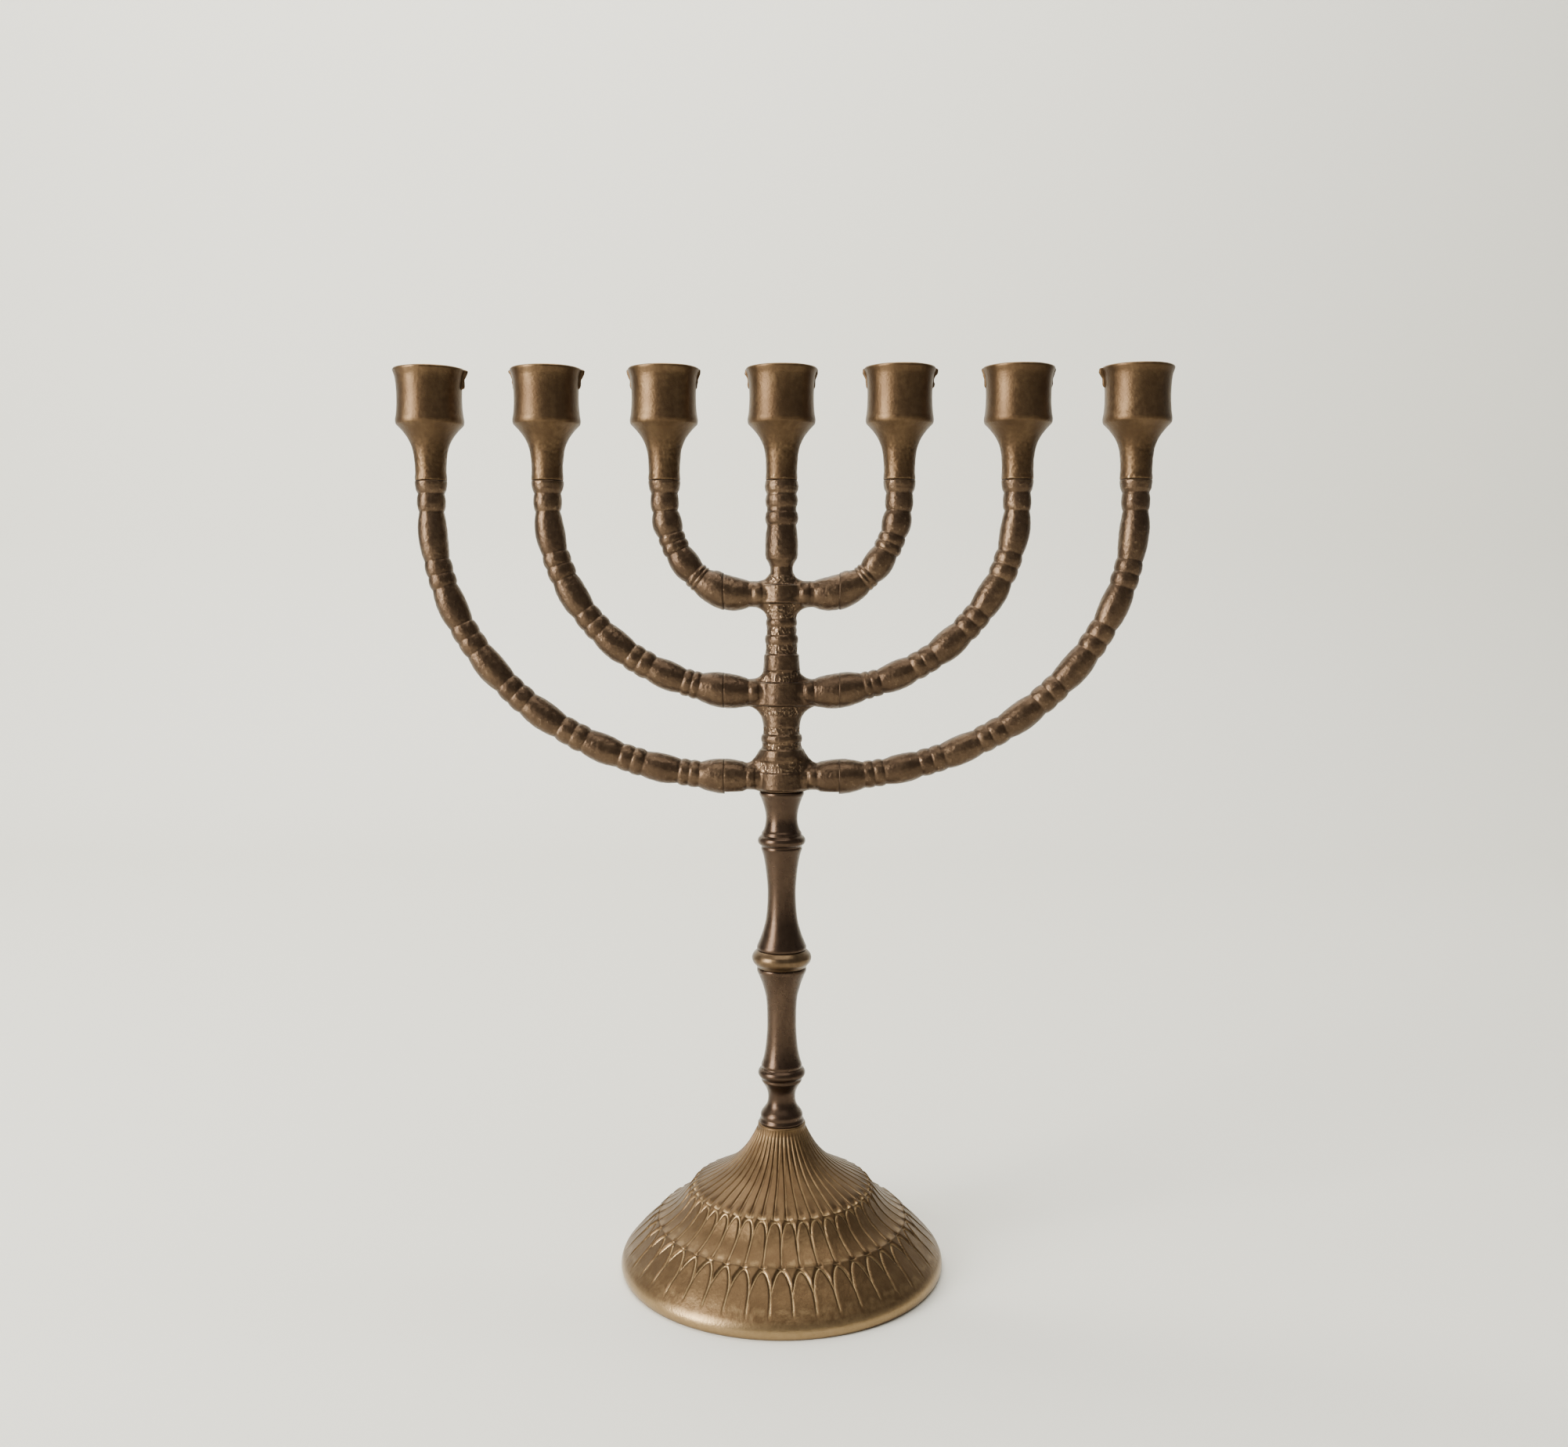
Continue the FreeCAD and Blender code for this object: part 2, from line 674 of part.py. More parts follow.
for alias, value in DIMENSIONS.items():
    add_dimension(alias, value)
for prefix, outline in (
    ("foot", FOOT_OUTLINE),
    ("lower", LOWER_STEM_OUTLINE),
    ("upper", UPPER_STEM_OUTLINE),
    ("knop", KNOP_OUTLINE),
    ("cup", CUP_OUTLINE),
    ("column", COLUMN_OUTLINE),
):
    add_outline(prefix, outline)
doc.recompute()

pieces = make_stand() + make_fasteners() + make_candelabrum() + make_cups()
doc.recompute()
check(pieces)

os.makedirs("parts", exist_ok=True)
for piece in pieces:
    piece.Shape.exportStep(f"parts/{piece.Label}.step")
    box = piece.Shape.optimalBoundingBox(False)
    print(
        f"{piece.Label}: {piece.Shape.Volume / 1000:.2f} cm3, "
        f"X {box.XMin:.2f} to {box.XMax:.2f}, Y {box.YMin:.2f} to {box.YMax:.2f}, "
        f"Z {box.ZMin:.2f} to {box.ZMax:.2f}"
    )
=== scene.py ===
import itertools
import math

import bpy
import numpy as np
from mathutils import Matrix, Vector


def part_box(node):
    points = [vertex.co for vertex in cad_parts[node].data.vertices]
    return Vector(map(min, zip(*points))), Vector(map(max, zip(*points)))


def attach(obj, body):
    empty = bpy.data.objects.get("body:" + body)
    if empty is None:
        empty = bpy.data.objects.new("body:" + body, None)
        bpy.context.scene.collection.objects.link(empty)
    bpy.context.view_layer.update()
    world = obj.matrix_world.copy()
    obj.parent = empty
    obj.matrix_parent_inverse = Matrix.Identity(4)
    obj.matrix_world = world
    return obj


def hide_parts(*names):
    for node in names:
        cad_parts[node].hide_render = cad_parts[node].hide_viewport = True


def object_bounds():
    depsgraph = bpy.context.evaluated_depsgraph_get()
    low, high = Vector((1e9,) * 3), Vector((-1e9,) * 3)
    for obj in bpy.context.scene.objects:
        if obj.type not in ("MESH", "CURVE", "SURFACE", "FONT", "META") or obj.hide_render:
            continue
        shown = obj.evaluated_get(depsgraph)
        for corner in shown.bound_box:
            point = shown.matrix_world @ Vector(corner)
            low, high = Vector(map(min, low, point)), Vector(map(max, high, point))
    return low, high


# Seven-branch brass candelabrum. Shapes are worked out in millimetres, in the CAD frame: +Z up, the
# row of cups along X, the camera's side at -Y. Meshes are made in metres.

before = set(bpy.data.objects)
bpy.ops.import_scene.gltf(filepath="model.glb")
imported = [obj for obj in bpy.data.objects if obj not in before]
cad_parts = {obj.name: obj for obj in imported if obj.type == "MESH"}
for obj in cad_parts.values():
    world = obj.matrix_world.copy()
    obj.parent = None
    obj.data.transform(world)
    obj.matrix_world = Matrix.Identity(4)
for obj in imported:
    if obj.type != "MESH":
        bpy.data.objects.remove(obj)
cad_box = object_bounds()

MM = 0.001
WHOLE_TURN = 2 * math.pi


def node_box(node):
    """Lowest and highest corner of a CAD node, in millimetres."""
    low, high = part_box(node)
    return np.array(low) / MM, np.array(high) / MM


cad_reach = cad_box[1][0] / MM
FOOT_TOP = node_box("base")[1][2]
KNOP_BOTTOM, KNOP_TOP = (corner[2] for corner in node_box("knop_ring"))
STEM_TOP = node_box("upper_stem")[1][2]
CUP_SEAM = node_box("arm_outer_right")[1][2]
CUP_TOP = node_box("cup_centre")[1][2]
CUP_RADIUS = node_box("cup_centre")[1][0]
CUP_SPACING = node_box("cup_outer_right")[0][0] / 3 + CUP_RADIUS / 3
BRANCH_SEAM = node_box("column")[1][0]
TURNING_GAP = 0.05  # between the upper stem and the column that turns on it
BORE_RADIUS = 11.1
BORE_FLOOR = CUP_TOP - 20.0
ROD_HOLE = 4.3  # radius of the hole for the tie rod in the foot, stems, ring and washer

# ---------------------------------------------------------------- noise


def cell_values(x, y, z, seed):
    """A repeatable number from 0 to 1 for each whole-numbered cell."""
    mask = 0xFFFFFFFF
    scrambled = (x * 374761393 + y * 668265263 + z * 2147483647 + seed * 1274126177) & mask
    scrambled = ((scrambled ^ (scrambled >> 13)) * 1274126177) & mask
    return ((scrambled ^ (scrambled >> 16)) & 0xFFFF) / 65535.0


def noise(points, feature, seed):
    """Smooth noise from -1 to 1 at the points, whose lumps are about feature millimetres across."""
    scaled = points / feature
    cell = np.floor(scaled).astype(np.int64)
    part = scaled - cell
    part = part**3 * (part * (part * 6 - 15) + 10)
    total = np.zeros(len(points))
    for corner in itertools.product((0, 1), repeat=3):
        weight = np.ones(len(points))
        for axis, step in enumerate(corner):
            weight *= part[:, axis] if step else 1 - part[:, axis]
        total += weight * cell_values(*(cell + corner).T, seed)
    return total * 2 - 1


def hammered(points, seed):
    """The fine lumps and dimples of a sand casting, in millimetres."""
    return (
        0.050 * noise(points, 1.6, seed)
        + 0.040 * noise(points, 0.9, seed + 1)
        + 0.060 * noise(points, 5.0, seed + 2)
    )


def squiggles(points, seed):
    """Raised wandering lines left by coarse moulding sand, from 0 to 1."""
    sway = np.stack([noise(points, 1.6, seed + axis) for axis in range(3)], axis=1)
    wander = points + 0.7 * sway
    lines = np.abs(noise(wander, 1.15, seed + 7))
    return np.clip(1 - lines / 0.25, 0, 1)


# ---------------------------------------------------------------- meshes


def make_piece(name, points, faces, heights, material, body, nodes, span=0.2, extra=0.0):
    """A mesh piece from points in millimetres. heights says how far each point stands out of the
    plain shape, in millimetres, and gives the wear attribute: 1 on raised edges that are rubbed
    bright, 0 in hollows that stay dark, and 0.5 on plain ground. span is the height that goes from
    0 to 1, and extra is added to the wear."""
    mesh = bpy.data.meshes.new(name)
    mesh.from_pydata((points * MM).tolist(), [], faces)
    mesh.update()
    mesh.polygons.foreach_set("use_smooth", np.ones(len(mesh.polygons), bool))
    proud = heights - spread(mesh, heights)
    wear = np.clip(0.5 + proud / span + extra, 0, 1)
    attribute = mesh.attributes.new("wear", "FLOAT", "POINT")
    attribute.data.foreach_set("value", wear.astype(np.float32))
    piece = bpy.data.objects.new(name, mesh)
    bpy.context.scene.collection.objects.link(piece)
    mesh.materials.append(material)
    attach(piece, body)
    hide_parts(*nodes)


def spread(mesh, values, rounds=12):
    """The values, averaged over each vertex's neighbourhood."""
    count = len(mesh.vertices)
    edges = np.empty(len(mesh.edges) * 2, np.int32)
    mesh.edges.foreach_get("vertices", edges)
    first, second = edges.reshape(-1, 2).T
    degree = np.bincount(first, minlength=count) + np.bincount(second, minlength=count)
    for _ in range(rounds):
        near = np.bincount(first, values[second], count)
        near += np.bincount(second, values[first], count)
        values = 0.5 * values + 0.5 * near / np.maximum(degree, 1)
    return values


def grid_faces(rings, segments, closed=False):
    """Quads between rings of points, wrapping round each ring. Closed quads also join the last ring
    to the first; otherwise a face covers each end."""
    ring = np.arange(rings if closed else rings - 1)
    segment = np.arange(segments)
    a = (ring[:, None] * segments + segment[None]).ravel()
    b = (ring[:, None] * segments + (segment[None] + 1) % segments).ravel()
    upper = ((ring + 1) % rings)[:, None]
    c = (upper * segments + (segment[None] + 1) % segments).ravel()
    d = (upper * segments + segment[None]).ravel()
    faces = np.stack([a, b, c, d], axis=1).tolist()
    if not closed:
        faces.append(list(range(segments))[::-1])
        faces.append(list(range((rings - 1) * segments, rings * segments)))
    return faces


def straight(*corners):
    """Straight runs from corner to corner, for an outline."""
    return [list(pair) for pair in zip(corners, corners[1:])]


def spline(anchors, step):
    """Evenly spaced points on a smooth curve through the anchors."""
    anchors = np.array(anchors, float)
    if len(anchors) == 2:
        fine = anchors
    else:
        padded = np.vstack([2 * anchors[0] - anchors[1], anchors, 2 * anchors[-1] - anchors[-2]])
        share = np.linspace(0, 1, 24, endpoint=False)[:, None]
        pieces = []
        for before, start, end, after in zip(padded, padded[1:], padded[2:], padded[3:]):
            length = np.linalg.norm(end - start)
            first = length * (end - before) / np.linalg.norm(end - before)
            last = length * (after - start) / np.linalg.norm(after - start)
            pieces.append(
                start * (2 * share**3 - 3 * share**2 + 1)
                + first * (share**3 - 2 * share**2 + share)
                + end * (3 * share**2 - 2 * share**3)
                + last * (share**3 - share**2)
            )
        fine = np.vstack(pieces + [anchors[-1:]])
    along = np.concatenate([[0], np.cumsum(np.linalg.norm(np.diff(fine, axis=0), axis=1))])
    count = max(2, int(round(along[-1] / step)) + 1)
    at = np.linspace(0, along[-1], count)
    return np.stack([np.interp(at, along, fine[:, axis]) for axis in range(2)], axis=1)


def outline(runs, step=0.3, soften=2):
    """A turned outline from runs of anchors (radius, height) that meet at corners. The corners are
    eased by a few rounds of averaging."""
    points = []
    for run in runs:
        curve = spline(run, step)
        points.append(curve if not points else curve[1:])
    points = np.vstack(points)
    for _ in range(soften):
        points[1:-1] = 0.25 * points[:-2] + 0.5 * points[1:-1] + 0.25 * points[2:]
    return points


def turn(profile, segments, relief, closed=False):
    """Points, faces and relief of a turned piece. relief(points) gives how far, in millimetres,
    the surface is moved along its normal."""
    angle = np.linspace(0, WHOLE_TURN, segments, endpoint=False)
    radius = profile[:, 0][:, None]
    height = profile[:, 1][:, None]
    points = np.stack(
        [
            (radius * np.cos(angle)[None]).ravel(),
            (radius * np.sin(angle)[None]).ravel(),
            np.broadcast_to(height, (len(profile), segments)).ravel(),
        ],
        axis=1,
    )
    ahead = np.roll(profile, -1, axis=0)
    behind = np.roll(profile, 1, axis=0)
    if not closed:
        ahead[-1] = profile[-1]
        behind[0] = profile[0]
    along = ahead - behind
    along /= np.linalg.norm(along, axis=1)[:, None] + 1e-9
    outward = np.repeat(along[:, 1], segments)
    upward = np.repeat(-along[:, 0], segments)
    around = np.tile(angle, len(profile))
    shift = relief(points)
    points[:, 0] += shift * outward * np.cos(around)
    points[:, 1] += shift * outward * np.sin(around)
    points[:, 2] += shift * upward
    return points, grid_faces(len(profile), segments, closed), shift


# ---------------------------------------------------------------- materials


def node(tree, kind, inputs=None, **settings):
    """A new shader node. Its inputs are sockets to link or values to set."""
    made = tree.nodes.new(kind)
    for key, value in settings.items():
        setattr(made, key, value)
    for key, value in (inputs or {}).items():
        if isinstance(value, bpy.types.NodeSocket):
            tree.links.new(value, made.inputs[key])
        else:
            made.inputs[key].default_value = value
    return made


def ramp(tree, factor, stops):
    """A colour ramp from (position, colour) stops; a plain number is a grey."""
    made = node(tree, "ShaderNodeValToRGB", {"Fac": factor})
    elements = made.color_ramp.elements
    while len(elements) < len(stops):
        elements.new(0.5)
    for element, (position, colour) in zip(elements, stops):
        element.position = position
        if isinstance(colour, (int, float)):
            colour = (colour, colour, colour)
        element.color = (*colour, 1)
    return made.outputs["Color"]


def mix(tree, factor, first, second):
    """The first colour where the factor is 0, and the second where it is 1."""
    made = node(tree, "ShaderNodeMix", {0: factor, 6: first, 7: second}, data_type="RGBA")
    return made.outputs[2]


def brass(name, dark, body, bright, rough, grain, turned=0.0, seed=0):
    """Patinated brass. dark sits in blotches and hollows, body is the plain ground, bright shows on
    rubbed edges. grain is the height in mm of the fine pitting, and turned that of tool marks."""
    material = bpy.data.materials.new(name)
    material.use_nodes = True
    tree = material.node_tree
    tree.nodes.clear()
    place = node(tree, "ShaderNodeTexCoord").outputs["Object"]
    shifted = node(
        tree, "ShaderNodeVectorMath", {0: place, 1: (0.13 * seed, 0.07 * seed, 0.05 * seed)}
    ).outputs[0]

    def pattern(scale, detail=3.0, roughness=0.55, vector=shifted):
        return node(
            tree,
            "ShaderNodeTexNoise",
            {"Vector": vector, "Scale": scale, "Detail": detail, "Roughness": roughness},
        ).outputs["Fac"]

    def squeezed(amounts):
        return node(
            tree, "ShaderNodeVectorMath", {0: shifted, 1: amounts}, operation="MULTIPLY"
        ).outputs[0]

    wear = node(tree, "ShaderNodeAttribute", attribute_name="wear").outputs["Fac"]
    clouds = pattern(60, 4.0)
    streaks = pattern(260, 4.0, 0.6, squeezed((1.0, 1.0, 0.25)))
    mottle = pattern(480, 5.0, 0.62)
    specks = pattern(1500, 2.0)

    ground = mix(tree, ramp(tree, clouds, [(0.30, 0.0), (0.70, 1.0)]), dark, body)
    ground = mix(tree, ramp(tree, streaks, [(0.42, 0.55), (0.58, 0.0)]), ground, dark)
    ground = mix(tree, ramp(tree, mottle, [(0.38, 0.45), (0.56, 0.0)]), ground, dark)
    hollow = ramp(tree, wear, [(0.10, 0.75), (0.45, 0.0)])
    ground = mix(tree, hollow, ground, tuple(0.5 * channel for channel in dark[:3]) + (1,))
    # Rubbing brightens raised edges, unevenly.
    patches = ramp(tree, mottle, [(0.3, 0.0), (0.7, 0.08)])
    uneven = node(tree, "ShaderNodeMath", {0: wear, 1: patches}, operation="ADD").outputs[0]
    rubbed = ramp(tree, uneven, [(0.64, 0.0), (1.0, 0.9)])
    ground = mix(tree, rubbed, ground, bright)
    ground = mix(tree, ramp(tree, specks, [(0.62, 0.0), (0.74, 0.3)]), ground, dark)

    def grey(value):
        return (value, value, value, 1)

    gloss = ramp(tree, mottle, [(0.25, rough - 0.05), (0.75, rough + 0.10)])
    gloss = mix(tree, ramp(tree, clouds, [(0.3, 0.35), (0.7, 0.0)]), gloss, grey(rough + 0.15))
    gloss = mix(tree, rubbed, gloss, grey(rough - 0.14))
    gloss = mix(tree, hollow, gloss, grey(rough + 0.22))

    shader = node(
        tree,
        "ShaderNodeBsdfPrincipled",
        {"Base Color": ground, "Roughness": gloss, "Metallic": 0.9, "IOR": 1.5},
    )
    pits = ramp(tree, pattern(1000, 3.0, 0.6), [(0.30, 0.0), (0.65, 1.0)])
    bump = node(
        tree, "ShaderNodeBump", {"Strength": 0.8, "Distance": grain * MM, "Height": pits}
    )
    if turned:
        marks = pattern(2400, 2.0, 0.5, squeezed((0.02, 0.02, 1.0)))
        bump = node(
            tree,
            "ShaderNodeBump",
            {
                "Strength": 0.7,
                "Distance": turned * MM,
                "Height": marks,
                "Normal": bump.outputs["Normal"],
            },
        )
    tree.links.new(bump.outputs["Normal"], shader.inputs["Normal"])
    end = node(tree, "ShaderNodeOutputMaterial")
    tree.links.new(shader.outputs[0], end.inputs["Surface"])
    return material


def plain_surface(name, colour, rough):
    material = bpy.data.materials.new(name)
    material.use_nodes = True
    shader = material.node_tree.nodes["Principled BSDF"]
    shader.inputs["Base Color"].default_value = (*colour, 1)
    shader.inputs["Roughness"].default_value = rough
    return material


CAST = brass(
    "cast_brass_patina",
    dark=(0.056, 0.034, 0.020, 1),
    body=(0.112, 0.071, 0.041, 1),
    bright=(0.30, 0.205, 0.125, 1),
    rough=0.31,
    grain=0.060,
)
TURNED = brass(
    "turned_brass_patina",
    dark=(0.046, 0.028, 0.018, 1),
    body=(0.070, 0.044, 0.028, 1),
    bright=(0.25, 0.165, 0.095, 1),
    rough=0.25,
    grain=0.014,
    turned=0.010,
    seed=3,
)
CUP = brass(
    "cup_brass_patina",
    dark=(0.068, 0.039, 0.019, 1),
    body=(0.126, 0.078, 0.039, 1),
    bright=(0.36, 0.24, 0.125, 1),
    rough=0.36,
    grain=0.040,
    turned=0.010,
    seed=5,
)
RING = brass(
    "ring_brass_patina",
    dark=(0.085, 0.053, 0.028, 1),
    body=(0.150, 0.100, 0.055, 1),
    bright=(0.34, 0.235, 0.130, 1),
    rough=0.28,
    grain=0.014,
    turned=0.010,
    seed=7,
)
FOOT = brass(
    "foot_brass_patina",
    dark=(0.095, 0.056, 0.026, 1),
    body=(0.150, 0.094, 0.045, 1),
    bright=(0.33, 0.225, 0.112, 1),
    rough=0.40,
    grain=0.040,
    seed=9,
)
STEEL = brass(
    "rod_steel",
    dark=(0.16, 0.15, 0.14, 1),
    body=(0.34, 0.33, 0.32, 1),
    bright=(0.60, 0.59, 0.58, 1),
    rough=0.38,
    grain=0.015,
    turned=0.008,
    seed=11,
)

# ---------------------------------------------------------------- foot

FRONT = math.radians(-88.6)  # the side of the foot that faces the camera
RIBS = 46
ARCHES = 44
FOOT_SEGMENTS = ARCHES * 22


def nearest_line(angle, count, offset):
    """For each angle, the number of the nearest of count evenly spaced lines, and the angle to
    it. The first line is offset from the foot's front by a share of the spacing."""
    pitch = WHOLE_TURN / count
    turns = (angle - FRONT) / pitch - offset
    number = np.round(turns)
    return number.astype(np.int64) % count, (turns - number) * pitch


def jitter(number, seed):
    """A repeatable number from -1 to 1 for each line."""
    return cell_values(number, number * 0, number * 0, seed) * 2 - 1


def ridge(distance, half_width):
    """The height, 0 to 1, of a rounded wire at a distance from its middle."""
    return np.sqrt(np.clip(1 - (distance / half_width) ** 2, 0, 1))


def arch_relief(across, down, half_pitch, tall, power, leg_end):
    """A petal outlined by a raised arch, whose legs join their neighbours' and run on as one line
    to leg_end: the height over the ground. across and down are from the middle and top."""
    x = np.abs(across) / half_pitch
    y = np.clip((tall - down) / tall, 0, None)
    level = x**power + y**power
    slope_x = power * x ** (power - 1) / half_pitch
    slope_y = power * y ** (power - 1) / tall
    inside = (1 - level) / np.maximum(np.hypot(slope_x, slope_y), 0.05)
    below = down > tall
    inside = np.where(below, half_pitch - np.abs(across), inside)
    merged = np.clip(down / tall - 0.5, 0, 1)
    ending = np.clip((leg_end - down) / 1.6, 0, 1)
    wire = (0.66 - 0.22 * merged) * ending * ridge(inside, 0.62 - 0.20 * merged)
    sunk = np.clip(inside / 0.5, 0, 1) * np.clip(1.4 - down / tall, 0, 1)
    petal = 0.30 * np.clip((inside + 0.3) / 0.5, 0, 1) - 0.12 * sunk
    pillow = 0.16 * np.clip(1 - x**2, 0, 1) * np.clip(down / tall, 0, 1) * ending
    return wire + petal + pillow


def make_foot():
    """The cast foot: ribbed cone, two scalloped ledges with arches, rounded rim, hollow inside."""
    collar = [(9.15, FOOT_TOP), (9.25, 55.7), (9.15, 55.2)]
    cone = [(9.15, 55.2), (11.75, 50.0), (15.3, 44.8), (21.0, 39.6), (30.0, 34.5), (34.5, 32.2)]
    ledge_one = [(34.5, 32.2), (34.85, 31.75)]
    slope_one = [(34.85, 31.75), (38.8, 26.9), (42.4, 23.5), (48.0, 19.9)]
    ledge_two = [(48.0, 19.9), (48.35, 19.5)]
    slope_two = [(48.35, 19.5), (53.3, 14.7), (57.0, 11.3), (59.6, 8.4), (61.2, 6.0)]
    rim = [(61.2, 6.0), (62.0, 4.4), (62.38, 2.9), (62.1, 1.2), (61.3, 0.0)]
    crown = 45.5
    inside = straight((61.3, 0.0), (58.4, 0.0), (57.6, 6.0))
    inside.append([(57.6, 6.0), (46.0, 17.2), (33.0, 28.2), (15.5, 40.5)])
    inside += straight(
        (15.5, 40.5), (11.5, crown), (ROD_HOLE, crown), (ROD_HOLE, FOOT_TOP), (9.15, FOOT_TOP)
    )
    # Rings of points are close where arches start, and wide apart where only straight ribs run.
    fine_one = spline(slope_one, 0.38)
    fine_two = spline(slope_two, 0.40)
    parts = [
        spline(collar, 0.5)[:-1],
        spline(cone, 2.1)[:-1],
        spline(ledge_one, 0.5)[:-1],
        np.vstack([fine_one[:22], fine_one[22:-1:4]]),
        spline(ledge_two, 0.4)[:-1],
        np.vstack([fine_two[:25], fine_two[25:-1:4]]),
        spline(rim, 0.9)[:-1],
    ]
    parts += [spline(run, 12.0)[:-1] for run in inside]
    profile = np.vstack(parts)
    starts = np.cumsum([0] + [len(part) for part in parts])
    ring_number = np.repeat(np.arange(len(profile)), FOOT_SEGMENTS)
    # The numbers of the parts, in the order of the list above.
    (
        collar_part, cone_part, ledge_one_part, slope_one_part, ledge_two_part, slope_two_part,
        rim_part, inside_part,
    ) = range(8)

    def between(first, stop):
        """Whether each point is in the parts from the first up to, but not including, stop."""
        return (ring_number >= starts[first]) & (ring_number < starts[stop])

    def relief(points):
        angle = np.arctan2(points[:, 1], points[:, 0])
        radius = np.hypot(points[:, 0], points[:, 1])
        height = points[:, 2]
        shift = np.zeros(len(points))

        number, off = nearest_line(angle, RIBS, 0.4)
        rib_end = 34.0 + 0.5 * jitter(number, 21)
        width = np.interp(radius, [9, 14, 34], [0.50, 0.46, 0.40])
        tall = np.interp(height, [32, 45, 53, 55.0, 55.2], [0.50, 0.46, 0.38, 0.26, 0.0])
        sway = 0.14 * noise(points, 8.0, 22) + 0.05 * noise(points, 2.5, 23)
        rib = tall * np.clip((rib_end - radius) / 0.9, 0, 1) * ridge(radius * off + sway, width)
        shift += np.where(between(cone_part, ledge_one_part), rib, 0)

        for slope, first, stop, offset, tall_arch, power, leg_end, seed in (
            (slope_one_part, ledge_one_part, ledge_two_part, 0.5, 8.4, 2.3, 17.5, 24),
            (slope_two_part, ledge_two_part, inside_part, 0.0, 9.8, 1.75, 16.4, 27),
        ):
            top = profile[starts[slope]]
            number, off = nearest_line(angle, ARCHES, offset)
            down = np.hypot(radius - top[0], height - top[1])
            down -= 0.35 + 0.30 * jitter(number, seed)
            half_pitch = radius * WHOLE_TURN / ARCHES / 2
            wobble = 0.16 * noise(points, 6.0, seed + 1) + 0.05 * noise(points, 2.0, seed + 2)
            petal = arch_relief(radius * off + wobble, down, half_pitch, tall_arch, power, leg_end)
            petal *= np.clip((61.4 - radius) / 1.2, 0, 1)
            shift += np.where(between(first, stop), petal, 0)
        texture = 0.030 * noise(points, 1.6, 30) + 0.05 * noise(points, 6.0, 31)
        blemish = 0.35 * np.clip(noise(points, 3.2, 33) - 0.72, 0, 1)
        shift += np.where(between(collar_part, rim_part), texture + blemish, 0)
        return shift

    points, faces, shift = turn(profile, FOOT_SEGMENTS, relief, closed=True)
    # The rim is handled, and so it is polished.
    radius = np.hypot(points[:, 0], points[:, 1])
    polish = 0.42 * np.clip((radius - 59.5) / 2.5, 0, 1)
    make_piece(
        "base_cast", points, faces, shift, FOOT, "stand", ["base"], 0.55, polish
    )


# ---------------------------------------------------------------- stems, ring and fasteners


def turned_relief(points):
    return 0.02 * noise(points, 6.0, 51)


def smooth(points):
    return np.zeros(len(points))


def edge_wear(profile, segments, crests):
    """Extra wear on the rings of a turned outline that are within a crest's reach: each crest is
    (height, reach, amount)."""
    worn = np.zeros(len(profile))
    for height, reach, amount in crests:
        worn += amount * np.exp(-(((profile[:, 1] - height) / reach) ** 2))
    return np.repeat(worn, segments)


def make_stems():
    """The two halves of the stem, much alike, the upper one turned over."""

    def half(bottom, top, end, torus, waist, waist_radius):
        """The outline from the plain end at bottom to the flared end at top. end gives the runs of
        the plain end, as radii and distances from it."""
        way = 1 if top > bottom else -1
        runs = [[(radius, bottom + way * rise) for radius, rise in run] for run in end]
        return outline(
            [[(ROD_HOLE, bottom), runs[0][0]]]
            + runs
            + [
                [runs[-1][-1], (7.6, torus - way * 2.1)],
                [
                    (7.6, torus - way * 2.1),
                    (8.7, torus - way * 1.3),
                    (9.15, torus),
                    (8.7, torus + way * 1.3),
                    (7.6, torus + way * 2.1),
                ],
                [(7.6, torus + way * 2.1), (7.95, torus + way * 3.0)],
                [
                    (7.95, torus + way * 3.0),
                    (6.9, torus + way * 6.4),
                    (6.0, torus + way * 12.0),
                    (waist_radius, waist),
                    (6.0, waist + way * 9.5),
                    (7.5, waist + way * 15.5),
                    (9.2, top - way * 2.0),
                ],
                [(9.2, top - way * 2.0), (9.5, top - way * 1.4), (9.5, top)],
            ]
            + straight((9.5, top), (ROD_HOLE, top), (ROD_HOLE, bottom)),
            step=0.32,
        )

    lower_end = [
        [(8.35, 0.0), (8.75, 0.5), (8.6, 1.2), (8.05, 2.0)],
        [
            (8.05, 2.0),
            (8.2, 3.2),
            (7.75, 4.4),
            (6.8, 5.7),
            (5.9, 7.0),
            (5.4, 8.5),
            (5.25, 10.2),
            (5.4, 11.8),
            (5.85, 13.3),
            (6.6, 14.8),
            (7.5, 16.1),
        ],
        [(7.5, 16.1), (7.9, 16.8)],
    ]
    upper_end = [
        [(8.4, 0.0), (8.6, 0.7), (8.45, 1.6)],
        [(8.45, 1.6), (8.1, 1.9)],
        [(8.1, 1.9), (7.6, 3.2), (6.7, 6.0), (6.1, 9.0), (6.15, 12.0), (6.9, 14.8), (7.7, 15.9)],
    ]
    lower_torus = 76.2
    upper_torus = 166.8
    lower = half(FOOT_TOP, KNOP_BOTTOM, lower_end, lower_torus, 95.8, 5.6)
    upper = half(STEM_TOP, KNOP_TOP, upper_end, upper_torus, 146.4, 5.4)
    segments = 104
    for name, profile, torus in (
        ("lower_stem", lower[:-1], lower_torus),
        ("upper_stem", upper[:0:-1], upper_torus),
    ):
        points, faces, shift = turn(profile, segments, turned_relief, closed=True)
        worn = edge_wear(profile, segments, [(torus, 1.2, 0.05)])
        make_piece(
            f"{name}_turned", points, faces, shift, TURNED, "stand", [name],
            extra=worn,
        )


